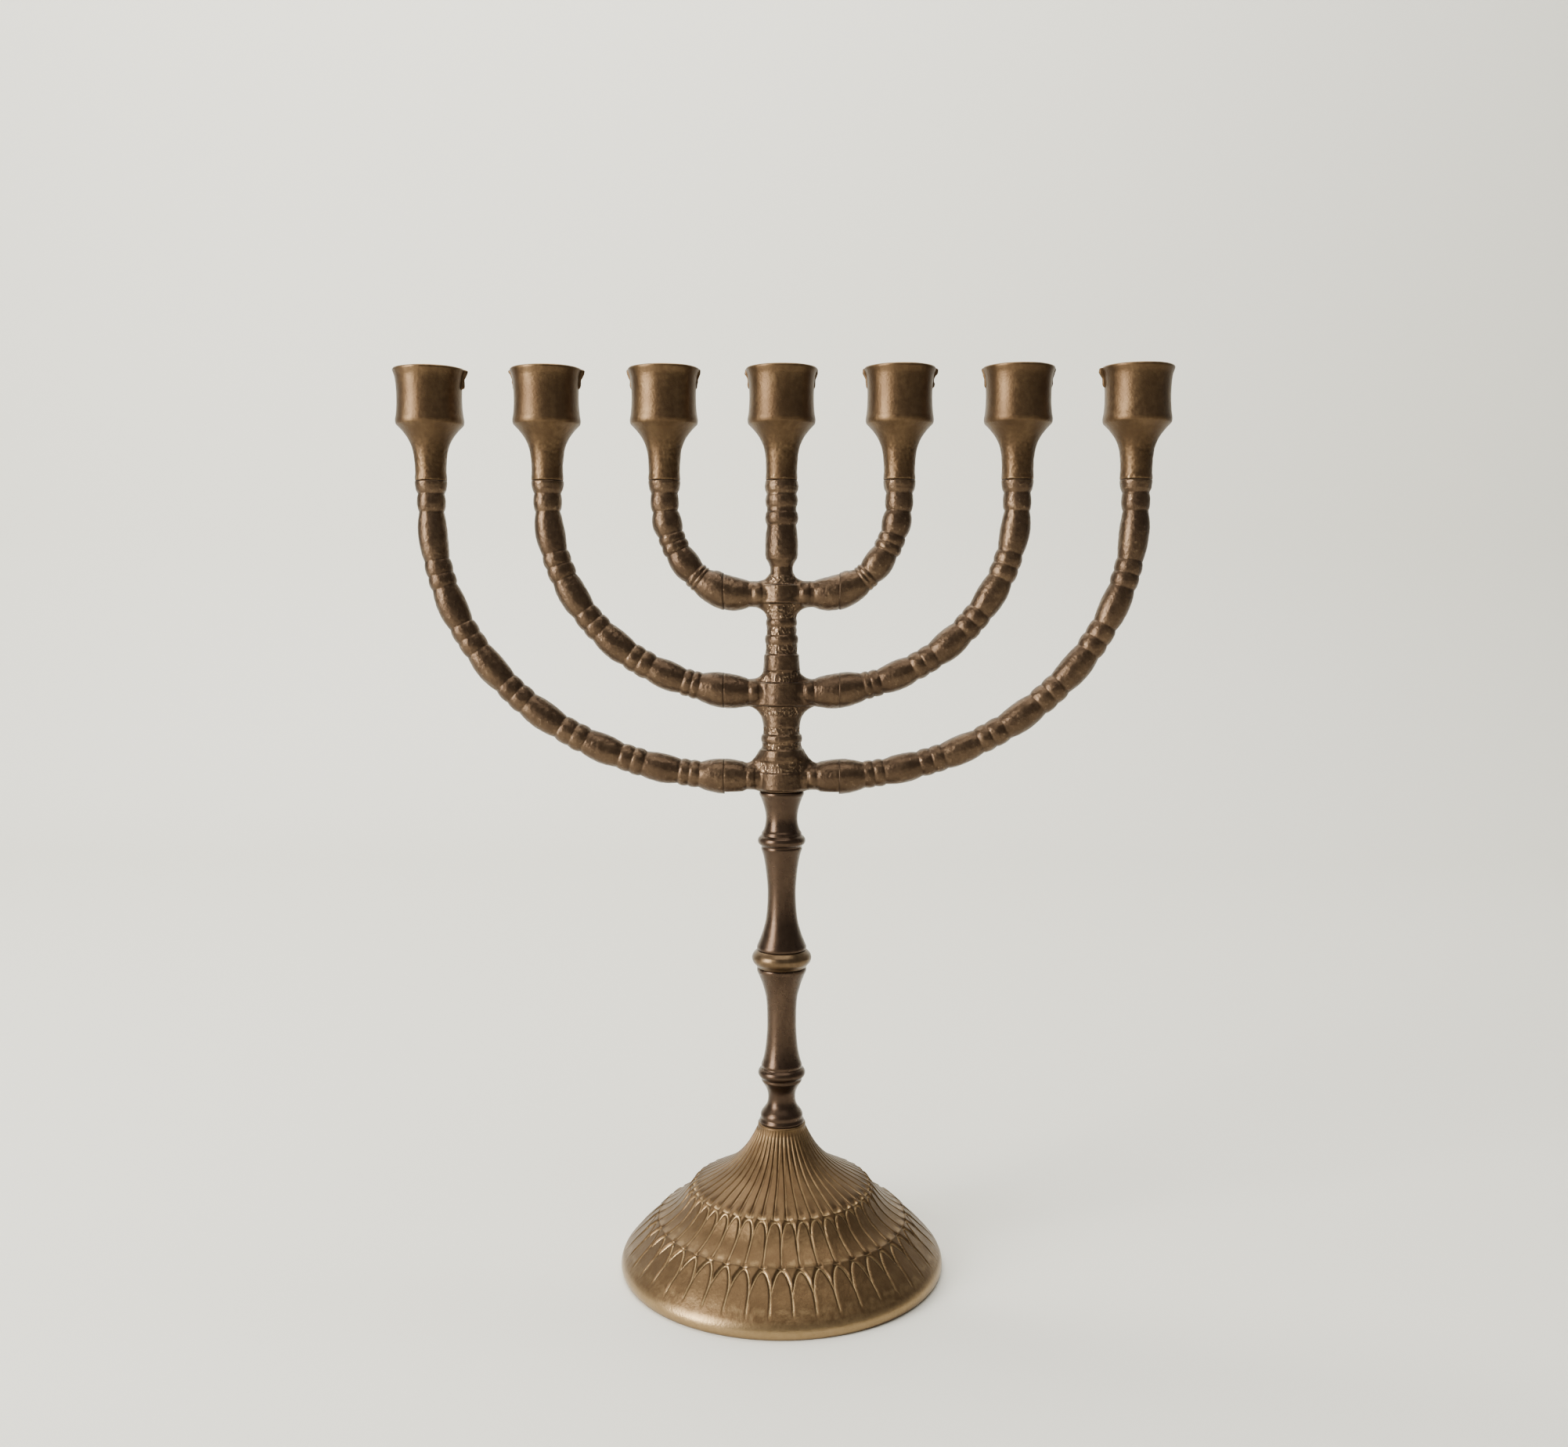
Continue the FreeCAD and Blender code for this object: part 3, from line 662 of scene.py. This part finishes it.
def make_knop():
    """The ring between the two halves of the stem."""
    middle = (KNOP_BOTTOM + KNOP_TOP) / 2
    rounded = [
        (9.4, KNOP_BOTTOM),
        (9.75, KNOP_BOTTOM + 0.8),
        (10.85, KNOP_BOTTOM + 2.0),
        (11.45, middle + 0.3),
        (11.0, KNOP_TOP - 1.6),
        (10.0, KNOP_TOP - 0.5),
        (9.5, KNOP_TOP),
    ]
    profile = outline(
        [[(ROD_HOLE, KNOP_BOTTOM), rounded[0]], rounded]
        + straight(rounded[-1], (ROD_HOLE, KNOP_TOP), (ROD_HOLE, KNOP_BOTTOM))
    )
    segments = 112
    points, faces, shift = turn(profile[:-1], segments, turned_relief, closed=True)
    worn = edge_wear(profile[:-1], segments, [(middle, 1.6, 0.04)])
    make_piece(
        "knop_ring_turned", points, faces, shift, RING, "stand", ["knop_ring"],
        extra=worn,
    )


def make_rod():
    """The tie rod, with a cut M8 thread on both ends."""
    low, high = (corner[2] for corner in node_box("tie_rod"))
    pitch = 1.25
    core = 3.35
    crest = 4.0
    shank = 3.9
    chamfer = 0.2
    threaded = 22.0
    segments = 36
    heights = np.concatenate(
        [
            np.arange(low, low + threaded, pitch / 8),
            np.linspace(low + threaded, high - threaded, 30)[1:-1],
            np.arange(high - threaded, high, pitch / 8),
            [high],
        ]
    )
    angle = np.linspace(0, WHOLE_TURN, segments, endpoint=False)
    z = np.repeat(heights, segments)
    a = np.tile(angle, len(heights))
    phase = (z / pitch - a / WHOLE_TURN) % 1.0
    tooth = np.clip(2.2 * np.abs(phase - 0.5) - 0.05, 0, 1)
    in_thread = (z < low + threaded - 1) | (z > high - threaded + 1)
    radius = np.where(in_thread, core + (crest - core) * tooth, shank)
    from_end = np.minimum(z - low, high - z)
    radius = np.minimum(radius, core - chamfer + from_end)
    points = np.stack([radius * np.cos(a), radius * np.sin(a), z], axis=1)
    faces = grid_faces(len(heights), segments)
    make_piece(
        "tie_rod_threaded", points, faces, radius, STEEL, "candelabrum", ["tie_rod"],
        1.2,
    )


def make_washer():
    """The washer between the foot's crown and the nut."""
    low, high = (corner[2] for corner in node_box("base_washer"))
    rim = 8.0
    profile = outline(
        straight((ROD_HOLE, low), (rim, low), (rim, high), (ROD_HOLE, high), (ROD_HOLE, low)),
        step=0.25,
    )
    points, faces, shift = turn(profile[:-1], 72, smooth, closed=True)
    make_piece(
        "base_washer_disc", points, faces, shift, STEEL, "stand", ["base_washer"]
    )


def make_nut():
    """A hexagon nut: its flats cut a turned blank, whose ends are domed by a chamfer."""
    low, high = (corner[2] for corner in node_box("base_nut"))
    corner_radius = node_box("base_nut")[1][0]
    to_flat_centre = corner_radius * math.cos(math.pi / 6)
    end_radius = to_flat_centre - 0.2
    bore = 4.05
    chamfer = 0.7
    profile = outline(
        straight(
            (bore, low),
            (end_radius, low),
            (corner_radius, low + chamfer),
            (corner_radius, high - chamfer),
            (end_radius, high),
            (bore, high),
            (bore, low),
        ),
        step=0.22,
        soften=1,
    )
    points, faces, shift = turn(profile[:-1], 144, smooth, closed=True)
    angle = np.arctan2(points[:, 1], points[:, 0])
    radius = np.hypot(points[:, 0], points[:, 1])
    # The corners point along X, and each flat is square to its own direction.
    from_flat = angle % (math.pi / 3) - math.pi / 6
    limit = to_flat_centre / np.cos(from_flat)
    points[:, :2] *= np.minimum(1, limit / radius)[:, None]
    make_piece(
        "base_nut_hex", points, faces, shift, STEEL, "candelabrum", ["base_nut"]
    )


# ---------------------------------------------------------------- branches

# The place of a branch's cup, counted from the centre; where its level run ends; the height of the
# centre line there; the rise of the quarter ellipse above it; the distances between the long beads
# from the root bulge outwards; and where the ring beside the column is.
BRANCHES = {
    "inner": (1, 15.0, 260.4, 36.0, (18, 17), 8.9),
    "middle": (2, 12.0, 223.5, 70.0, (22, 23, 24, 25), 10.3),
    "outer": (3, 16.0, 191.2, 99.0, (24, 23, 26, 27, 28, 25), 11.8),
}
# The widths of the fillets above and below each pair of stubs, by the place of their cups.
FILLETS = {1: (3.4, 5.2), 2: (4.8, 8.4), 3: (7.6, 2.4)}
# How far an arm's end reaches over the column's stub.
OVERLAP = 0.45


def branch_line(place, bend_start, level, rise):
    """The centre line of a right-hand branch in the XZ plane, and the distance along it."""
    cup_x = place * CUP_SPACING
    angle = np.linspace(0, math.pi / 2, 500)
    level_x = np.linspace(0, bend_start, 60, endpoint=False)
    bend_x = bend_start + (cup_x - bend_start) * np.sin(angle)
    bend_z = level + rise * (1 - np.cos(angle))
    plumb_z = np.linspace(level + rise, CUP_SEAM, 60)[1:]
    line = np.stack(
        [
            np.concatenate([level_x, bend_x, np.full(len(plumb_z), cup_x)]),
            np.concatenate([np.full(len(level_x), level), bend_z, plumb_z]),
        ],
        axis=1,
    )
    along = np.concatenate([[0], np.cumsum(np.linalg.norm(np.diff(line, axis=0), axis=1))])
    return line, along


def bead(at, start, end, low, top, power=0.9):
    """The radius of a bead between two grooves, which only counts between start and end."""
    share = (at - start) / (end - start) * 2 - 1
    swell = np.clip(1 - share**2, 0, 1) ** power
    return np.where(np.abs(share) < 1, low + (top - low) * swell, 0)


def branch_radius(at, seam, end, gaps, ring_at, seed):
    """The radius of a branch along its line: stub ring, root bulge, then long beads with a pair of
    short ones between each two, and the small ring under the cup's stalk."""
    radius = np.where(at < seam - 5, 4.95, 4.6)
    radius = np.maximum(radius, bead(at, ring_at - 1.9, ring_at + 1.9, 4.9, 5.75, 0.7))
    radius = np.maximum(radius, bead(at, seam - 10.5, seam + 9.4, 4.75, 6.72))
    last_bead = end - 11.3
    distance = seam
    for number, gap in enumerate(gaps):
        nudge = 0.35 * float(jitter(np.array([number]), seed)[0])
        start = distance + (0.30 * gap if number else 9.0)
        finish = distance + 0.70 * gap
        middle = (start + finish) / 2 + nudge
        radius = np.maximum(radius, bead(at, start, middle, 4.7, 5.28, 0.7))
        radius = np.maximum(radius, bead(at, middle, finish, 4.72, 5.22, 0.7))
        if number + 1 < len(gaps):
            onward = distance + gap + 0.30 * gaps[number + 1]
        else:
            onward = last_bead
        radius = np.maximum(radius, bead(at, finish, onward, 4.6, 5.6))
        distance += gap
    radius = np.maximum(radius, bead(at, last_bead, end - 4.2, 4.6, 5.35, 0.6))
    flare = np.interp(at, [end - 4.6, end - 3.2, end - 1.4, end], [5.0, 5.65, 5.95, 6.05])
    return np.where(at > end - 4.6, np.maximum(radius, flare), radius)


def seam_groove(distance):
    """How far a surface dips beside a brazed seam, in mm."""
    return 0.14 * np.exp(-((distance / 0.35) ** 2))


def make_arm(name, side, seed):
    """A cast arm, from its seam with the column's stub to its seam with the cup's stalk."""
    place, bend_start, level, rise, gaps, ring_at = BRANCHES[name]
    line, along = branch_line(place, bend_start, level, rise)
    seam = np.interp(BRANCH_SEAM, line[:, 0], along)
    end = along[-1]
    at = np.linspace(seam - OVERLAP, end, int((end - seam) / 0.36))

    def on_line(places):
        return np.stack([np.interp(places, along, line[:, axis]) for axis in range(2)], axis=1)

    middle = on_line(at)
    tangent = on_line(at + 0.2) - on_line(at - 0.2)
    tangent /= np.linalg.norm(tangent, axis=1)[:, None]
    across = np.stack([-tangent[:, 1], tangent[:, 0]], axis=1)
    # The first rings lean, so that the arm starts on the plane of its seam.
    upright = np.clip(1 - (at - seam) / 7.0, 0, 1)[:, None]
    plane = tangent * (1 - upright) + np.array([[1.0, 0.0]]) * upright
    lean = (across * plane).sum(axis=1) / (tangent * plane).sum(axis=1)
    across = across - tangent * lean[:, None]
    radius = branch_radius(at, seam, end, gaps, ring_at, seed)
    segments = 84
    angle = np.linspace(0, WHOLE_TURN, segments, endpoint=False)
    up = np.cos(angle)[None, :, None] * across[:, None, :]
    centre = np.repeat(middle, segments, axis=0)
    out = up.reshape(-1, 2)
    depth = np.tile(np.sin(angle), len(at))
    distance = np.repeat(at, segments)
    ground = np.repeat(radius, segments)

    def placed(reach):
        return np.stack(
            [
                side * (centre[:, 0] + out[:, 0] * reach),
                depth * reach,
                centre[:, 1] + out[:, 1] * reach,
            ],
            axis=1,
        )

    plain = placed(ground)
    relief = hammered(plain, seed) + 0.05 * squiggles(plain, seed)
    relief += 0.10 * noise(plain, 9.0, seed + 9)
    relief -= seam_groove(end - distance)
    from_rim = distance - seam + OVERLAP
    rim = np.clip(from_rim / 0.8, 0, 1)
    relief = relief * rim - 0.03 * (1 - rim)
    points = placed(ground + relief)
    faces = grid_faces(len(at), segments)
    if side > 0:
        faces = [face[::-1] for face in faces]
    word = "right" if side > 0 else "left"
    node_name = f"arm_{name}_{word}"
    # The beads are rubbed a little more than the grooves, and dirt sits in the seam.
    heights = relief + 0.3 * ground
    dirt = -0.4 * np.exp(-((from_rim / 0.5) ** 2))
    make_piece(
        f"{node_name}_cast", points, faces, heights, CAST, "candelabrum",
        [node_name], 0.30, dirt,
    )


# ---------------------------------------------------------------- column

# Heights and radii of the column: three hubs, and smooth rings with rough bands between them.
COLUMN_RUNS = [
    (185.75, 8.0), (186.5, 8.4), (186.9, 8.85), (193.0, 8.75), (193.4, 8.2), (197.2, 8.1),
    (197.8, 8.45), (199.5, 8.5), (201.6, 8.1), (202.2, 7.4), (204.3, 7.35), (204.9, 7.75),
    (206.0, 7.85), (207.2, 7.55), (207.7, 6.9), (210.2, 6.85), (210.8, 6.95), (214.0, 6.9),
    (214.6, 6.95), (218.2, 7.1), (218.8, 8.0), (227.0, 7.95), (227.5, 6.65), (231.3, 6.45),
    (231.9, 6.85), (237.4, 6.65), (238.1, 6.0), (241.5, 5.9), (242.2, 6.2), (243.4, 6.35),
    (244.6, 6.1), (245.2, 5.6), (248.2, 5.5), (248.8, 5.8), (249.7, 5.9), (250.6, 5.7),
    (251.2, 5.35), (256.8, 5.55), (257.3, 6.9), (263.6, 6.8), (264.2, 5.6), (266.8, 4.8),
    (268.4, 4.3), (270.6, 4.3), (272.0, 4.9), (273.6, 5.95), (275.0, 6.2), (279.0, 6.2),
    (283.0, 5.95), (285.4, 5.55), (286.3, 5.5), (287.2, 6.0), (288.9, 6.3), (290.6, 6.0),
    (291.4, 5.55), (292.8, 5.55), (293.6, 5.95), (295.2, 6.2), (296.8, 5.95), (297.6, 5.65),
    (298.2, 5.7), (299.0, 6.1), (300.6, 6.35), (301.8, 6.1), (302.7, 6.0),
]
# Where the moulding sand left rough bands: lowest and highest point.
ROUGH_BANDS = [
    (193.3, 197.5), (202.0, 204.6), (207.5, 210.6), (214.4, 218.5), (227.3, 231.6), (237.9, 241.8),
    (245.0, 248.5), (251.0, 257.0), (264.0, 267.5),
]


def blend_union(first, second, width):
    """The union of two distance fields, with a fillet about width across."""
    share = np.clip(0.5 + 0.5 * (second - first) / width, 0, 1)
    return second + (first - second) * share - width * share * (1 - share)


def column_field(points, lines):
    """Distance-like field of the column with its six stubs: negative inside."""
    x, y, z = points.T
    heights, radii = np.array(COLUMN_RUNS).T
    field = np.hypot(x, y) - np.interp(z, heights, radii)
    sideways = np.abs(x)
    for line, along, seam, ring_at, above, below in lines:
        at = np.interp(sideways, line[:, 0], along)
        rise = z - np.interp(sideways, line[:, 0], line[:, 1])
        off = np.hypot(rise, y)
        radius = branch_radius(at, seam, seam + 100, (22,), ring_at, 1)
        radius -= seam_groove(BRANCH_SEAM - OVERLAP - sideways)
        # The fillet is wide in the crotches above and below the stub, and tight in front of it.
        steep = rise**2 / np.maximum(off**2, 1e-6)
        # The ring beside the hub is worn away at the top and bottom, where the fillet runs out.
        radius -= (radius - 4.95) * steep * np.clip((ring_at + 2.9 - at) / 1.6, 0, 1)
        width = 0.8 + np.where(rise > 0, above, below) * steep**1.5
        field = blend_union(field, off - radius, width)
    field = np.maximum(field, sideways - BRANCH_SEAM)
    field = np.maximum(field, STEM_TOP + TURNING_GAP - z)
    return np.maximum(field, z - CUP_SEAM)


def surface_net(field, low, high, step):
    """Points and faces of the surface where a field is zero: one point in each cell of a grid that
    the surface crosses, and a face across each crossed edge between four such cells."""
    axes = [np.arange(start, stop + step, step) for start, stop in zip(low, high)]
    shape = tuple(len(axis) for axis in axes)
    corners = np.stack(np.meshgrid(*axes, indexing="ij"), axis=-1).reshape(-1, 3)
    inside = (field(corners) < 0).reshape(shape)
    count = np.zeros(tuple(size - 1 for size in shape), np.int8)
    for corner in itertools.product((0, 1), repeat=3):
        count += inside[tuple(slice(i, size - 1 + i) for i, size in zip(corner, shape))]
    crossed = (count > 0) & (count < 8)
    number = np.full(crossed.shape, -1)
    number[crossed] = np.arange(crossed.sum())
    points = np.array(low) + (np.argwhere(crossed) + 0.5) * step
    faces = []
    units = np.eye(3, dtype=int)
    for axis in range(3):
        second = units[(axis + 1) % 3]
        third = units[(axis + 2) % 3]
        here = np.argwhere(np.diff(inside.astype(np.int8), axis=axis) != 0)
        solid = inside[tuple(here.T)]
        around = [here, here - second, here - second - third, here - third]
        quads = np.stack([number[tuple(cell.T)] for cell in around], axis=1)
        faces += quads[solid].tolist() + quads[~solid][:, ::-1].tolist()
    return points, faces


def make_column():
    """The centre casting, as the surface that column_field gives, with the texture added."""
    lines = []
    for place, bend_start, level, rise, _, ring_at in BRANCHES.values():
        line, along = branch_line(place, bend_start, level, rise)
        rising = line[:, 0] < place * CUP_SPACING - 1e-3
        line, along = line[rising], along[rising]
        seam = np.interp(BRANCH_SEAM, line[:, 0], along)
        lines.append((line, along, seam, ring_at, *FILLETS[place]))

    def field(places):
        return column_field(places, lines)

    low, high = node_box("column")
    margin = 0.55
    half_depth = 10.9
    points, faces = surface_net(
        field,
        (low[0] - margin, -half_depth, low[2] - margin),
        (high[0] + margin, half_depth, high[2] + margin),
        0.36,
    )
    # Each point moves along the field's slope until it is on the surface.
    step = 0.05
    for _ in range(4):
        value = field(points)
        rises = [field(points + step * unit) - field(points - step * unit) for unit in np.eye(3)]
        slope = np.stack(rises, axis=1) / (2 * step)
        size = np.maximum((slope**2).sum(axis=1), 0.3)
        points = points - slope * np.clip(value / size, -0.4, 0.4)[:, None]
    normal = slope / np.maximum(np.linalg.norm(slope, axis=1), 1e-6)[:, None]
    height = points[:, 2]
    rough = np.zeros(len(points))
    for band_low, band_high in ROUGH_BANDS:
        from_edge = np.minimum(height - band_low, band_high - height)
        rough = np.maximum(rough, np.clip(from_edge / 0.5, 0, 1))
    heights, radii = np.array(COLUMN_RUNS).T
    off_column = np.hypot(points[:, 0], points[:, 1]) - np.interp(height, heights, radii)
    rough *= np.clip((1.2 - off_column) / 0.8, 0, 1)
    relief = hammered(points, 61) - 0.08 * rough
    relief += (0.05 + 0.22 * rough) * squiggles(points, 62)
    ends = np.minimum(BRANCH_SEAM - np.abs(points[:, 0]), CUP_SEAM - height)
    ends = np.minimum(ends, height - STEM_TOP - TURNING_GAP)
    relief *= np.clip(ends / 0.5, 0, 1)
    points = points + normal * relief[:, None]
    points[:, 0] = np.clip(points[:, 0], low[0], high[0])
    points[:, 2] = np.clip(points[:, 2], low[2], high[2])
    make_piece(
        "column_cast", points, faces, relief, CAST, "candelabrum", ["column"], 0.30
    )


# ---------------------------------------------------------------- cups


# How far the torn metal at the mould's parting line stands out under the lip of each cup, as a
# share: on its left and on its right. The cups' places are counted from the centre.
FLASH = {
    -3: (0.0, 1.0),
    -2: (0.5, 0.85),
    -1: (0.4, 0.5),
    0: (0.4, 0.4),
    1: (0.4, 0.5),
    2: (0.4, 0.35),
    3: (0.9, 0.0),
}


def make_flash(place, side, share):
    """A torn fin of metal under a cup's lip, as the points and faces of a small closed plate."""
    tall = 7.4
    rings = 26
    depth = np.linspace(0, 1, rings)
    height = CUP_TOP - 0.35 - tall * depth
    wall = np.interp(height - CUP_TOP, [-9, -4, -1.2, 0], [12.1, 12.4, 13.0, 13.2])
    along = np.stack([np.full(rings, 9.0 * place), np.full(rings, 5.0 * side), height], axis=1)
    torn = 0.95 + 0.35 * noise(along, 1.3, 90)
    depths = [0, 0.05, 0.25, 0.55, 0.82, 0.93, 1]
    stand = np.interp(depth, depths, [0.6, 1.8, 2.2, 0.9, 1.1, 0.9, 0.0])
    reach = share * stand * torn
    thick = np.interp(depth, [0, 0.1, 0.9, 1], [0.25, 0.5, 0.42, 0.15])
    # Across the fin: from inside the wall, out along one face, round the edge, and back.
    outward = np.array([-0.8, 0.0, 0.6, 1.0, 1.0, 0.6, 0.0, -0.8])
    sideways = np.array([-1.3, -1.1, -0.8, -0.35, 0.35, 0.8, 1.1, 1.3])
    out = np.where(outward < 0, wall[:, None] + outward, wall[:, None] + reach[:, None] * outward)
    points = np.stack(
        [
            (side * out).ravel(),
            (thick[:, None] * sideways).ravel(),
            np.repeat(height, len(outward)),
        ],
        axis=1,
    )
    faces = grid_faces(rings, len(outward))
    if side > 0:
        faces = [face[::-1] for face in faces]
    return points, faces


def make_cup(node_name):
    """A candle cup on its stalk: trumpet, crisp shoulder line, belly, hollow flare, thin lip."""
    low, high = node_box(node_name)
    centre = (low[0] + high[0]) / 2
    place = round(centre / CUP_SPACING)
    seam = CUP_SEAM
    middle_hole = 0.4  # inside it, one face closes each end
    profile = outline(
        [
            [(middle_hole, seam), (5.96, seam)],
            [
                (5.96, seam),
                (6.02, seam + 0.5),
                (5.85, seam + 4.0),
                (6.1, seam + 8.5),
                (6.7, seam + 12.2),
                (8.2, seam + 15.7),
                (10.3, seam + 18.6),
                (11.9, seam + 20.3),
            ],
            [(11.9, seam + 20.3), (12.5, seam + 20.9)],
            [
                (12.5, seam + 20.9),
                (12.72, seam + 22.3),
                (12.35, seam + 24.8),
                (12.05, seam + 29.3),
                (12.15, seam + 34.5),
                (12.55, CUP_TOP - 3.3),
                (13.05, CUP_TOP - 1.7),
            ],
            [(13.05, CUP_TOP - 1.7), (13.3, CUP_TOP - 1.05), (13.38, CUP_TOP - 0.55)],
        ]
        + straight(
            (13.38, CUP_TOP - 0.6),
            (13.1, CUP_TOP - 0.05),
            (BORE_RADIUS + 0.5, CUP_TOP - 0.1),
            (BORE_RADIUS, CUP_TOP - 0.7),
            (BORE_RADIUS, BORE_FLOOR + 0.6),
            (BORE_RADIUS - 0.6, BORE_FLOOR),
            (middle_hole, BORE_FLOOR),
        ),
        step=0.32,
        soften=1,
    )

    def relief(points):
        radius = np.hypot(points[:, 0], points[:, 1])
        height = points[:, 2]
        placed = points + np.array([[centre, 0, 0]])
        # The stalk is as cast; the cup is turned smooth.
        rough = np.clip((seam + 17.5 - height) / 6, 0, 1)
        shift = rough * (hammered(placed, 71) + 0.035 * noise(placed, 0.7, 72))
        shift += (1 - rough) * (0.05 * noise(placed, 7.0, 73) + 0.012 * noise(placed, 1.8, 74))
        return shift - np.where(radius > 3, seam_groove(height - seam), 0)

    segments = 120
    points, faces, shift = turn(profile, segments, relief)
    worn = edge_wear(profile, segments, [(CUP_TOP, 0.6, 0.35), (seam + 14.0, 7.0, -0.22)])
    for side, share in zip((-1, 1), FLASH[place]):
        if share:
            fin_points, fin_faces = make_flash(place, side, share)
            faces += [[index + len(points) for index in face] for face in fin_faces]
            points = np.vstack([points, fin_points])
            shift = np.concatenate([shift, np.zeros(len(fin_points))])
            worn = np.concatenate([worn, np.zeros(len(fin_points))])
    points[:, 0] = np.clip(points[:, 0] + centre, -cad_reach, cad_reach)
    points[:, 2] = np.clip(points[:, 2], seam, high[2])
    make_piece(
        f"{node_name}_turned", points, faces, shift, CUP, "candelabrum", [node_name],
        0.25, worn,
    )


# ---------------------------------------------------------------- stage, lights and camera


def add_area_light(name, place, target, size, power):
    """A warm rectangle of light at a place, facing the target."""
    data = bpy.data.lights.new(name, "AREA")
    data.shape = "RECTANGLE"
    data.size, data.size_y = size
    data.energy = power
    data.color = (1.0, 0.98, 0.92)
    light = bpy.data.objects.new(name, data)
    bpy.context.scene.collection.objects.link(light)
    light.location = place
    aim = np.array(target) - np.array(place)
    flat = math.hypot(aim[0], aim[1])
    light.rotation_euler = (math.atan2(flat, -aim[2]), 0, math.atan2(-aim[0], aim[1]))


def make_stage():
    """A pale floor that curves up into a pale wall behind."""
    depth = 0.9
    bend = 0.35
    width = 4.0
    rise = 2.2
    angle = np.linspace(0, math.pi / 2, 24)
    line = [(-3.0, 0.0)]
    line += [(depth + bend * math.sin(a), bend * (1 - math.cos(a))) for a in angle]
    line.append((depth + bend, rise))
    points = [(x, y, z) for y, z in line for x in (-width, width)]
    faces = [[2 * i, 2 * i + 1, 2 * i + 3, 2 * i + 2] for i in range(len(line) - 1)]
    mesh = bpy.data.meshes.new("floor_sweep")
    mesh.from_pydata(points, [], faces)
    mesh.polygons.foreach_set("use_smooth", np.ones(len(mesh.polygons), bool))
    floor = bpy.data.objects.new("floor_sweep", mesh)
    bpy.context.scene.collection.objects.link(floor)
    mesh.materials.append(plain_surface("pale_floor", (0.80, 0.790, 0.725), 0.6))


def make_light():
    """A bright room with a window on the left, and lights over the wall and the table."""
    world = bpy.data.worlds.new("room")
    bpy.context.scene.world = world
    world.use_nodes = True
    background = world.node_tree.nodes["Background"]
    background.inputs["Color"].default_value = (0.93, 0.93, 0.92, 1)
    background.inputs["Strength"].default_value = 0.34
    middle = (0.0, 0.0, 0.20)
    add_area_light("window", (-1.50, -0.95, 0.70), middle, (0.75, 1.3), 76)
    add_area_light("wall_light", (-0.4, 0.50, 2.0), (-0.1, 1.25, 0.5), (2.4, 0.5), 46)
    add_area_light("table_light", (0.0, -0.5, 2.1), middle, (1.6, 1.2), 20)


def make_camera():
    """A camera a little right of the front and a little above the middle, looking down slightly."""
    distance = 0.5479
    height = 0.2575
    tilt = math.radians(4.8)
    turned = math.radians(1.3)
    beside = 0.0009
    data = bpy.data.cameras.new("camera")
    data.sensor_width = 36
    data.lens = 33.25
    camera = bpy.data.objects.new("camera", data)
    bpy.context.scene.collection.objects.link(camera)
    camera.location = (
        beside * math.cos(turned) + distance * math.sin(turned),
        beside * math.sin(turned) - distance * math.cos(turned),
        height,
    )
    camera.rotation_euler = (math.pi / 2 - tilt, 0, turned)
    bpy.context.scene.camera = camera


make_foot()
make_stems()
make_knop()
make_rod()
make_washer()
make_nut()
make_column()
for arm_number, arm_name in enumerate(BRANCHES):
    for arm_side in (1, -1):
        make_arm(arm_name, arm_side, 80 + 10 * arm_number + arm_side)
for cup_name in sorted(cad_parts):
    if cup_name.startswith("cup_"):
        make_cup(cup_name)
make_stage()
make_light()
make_camera()
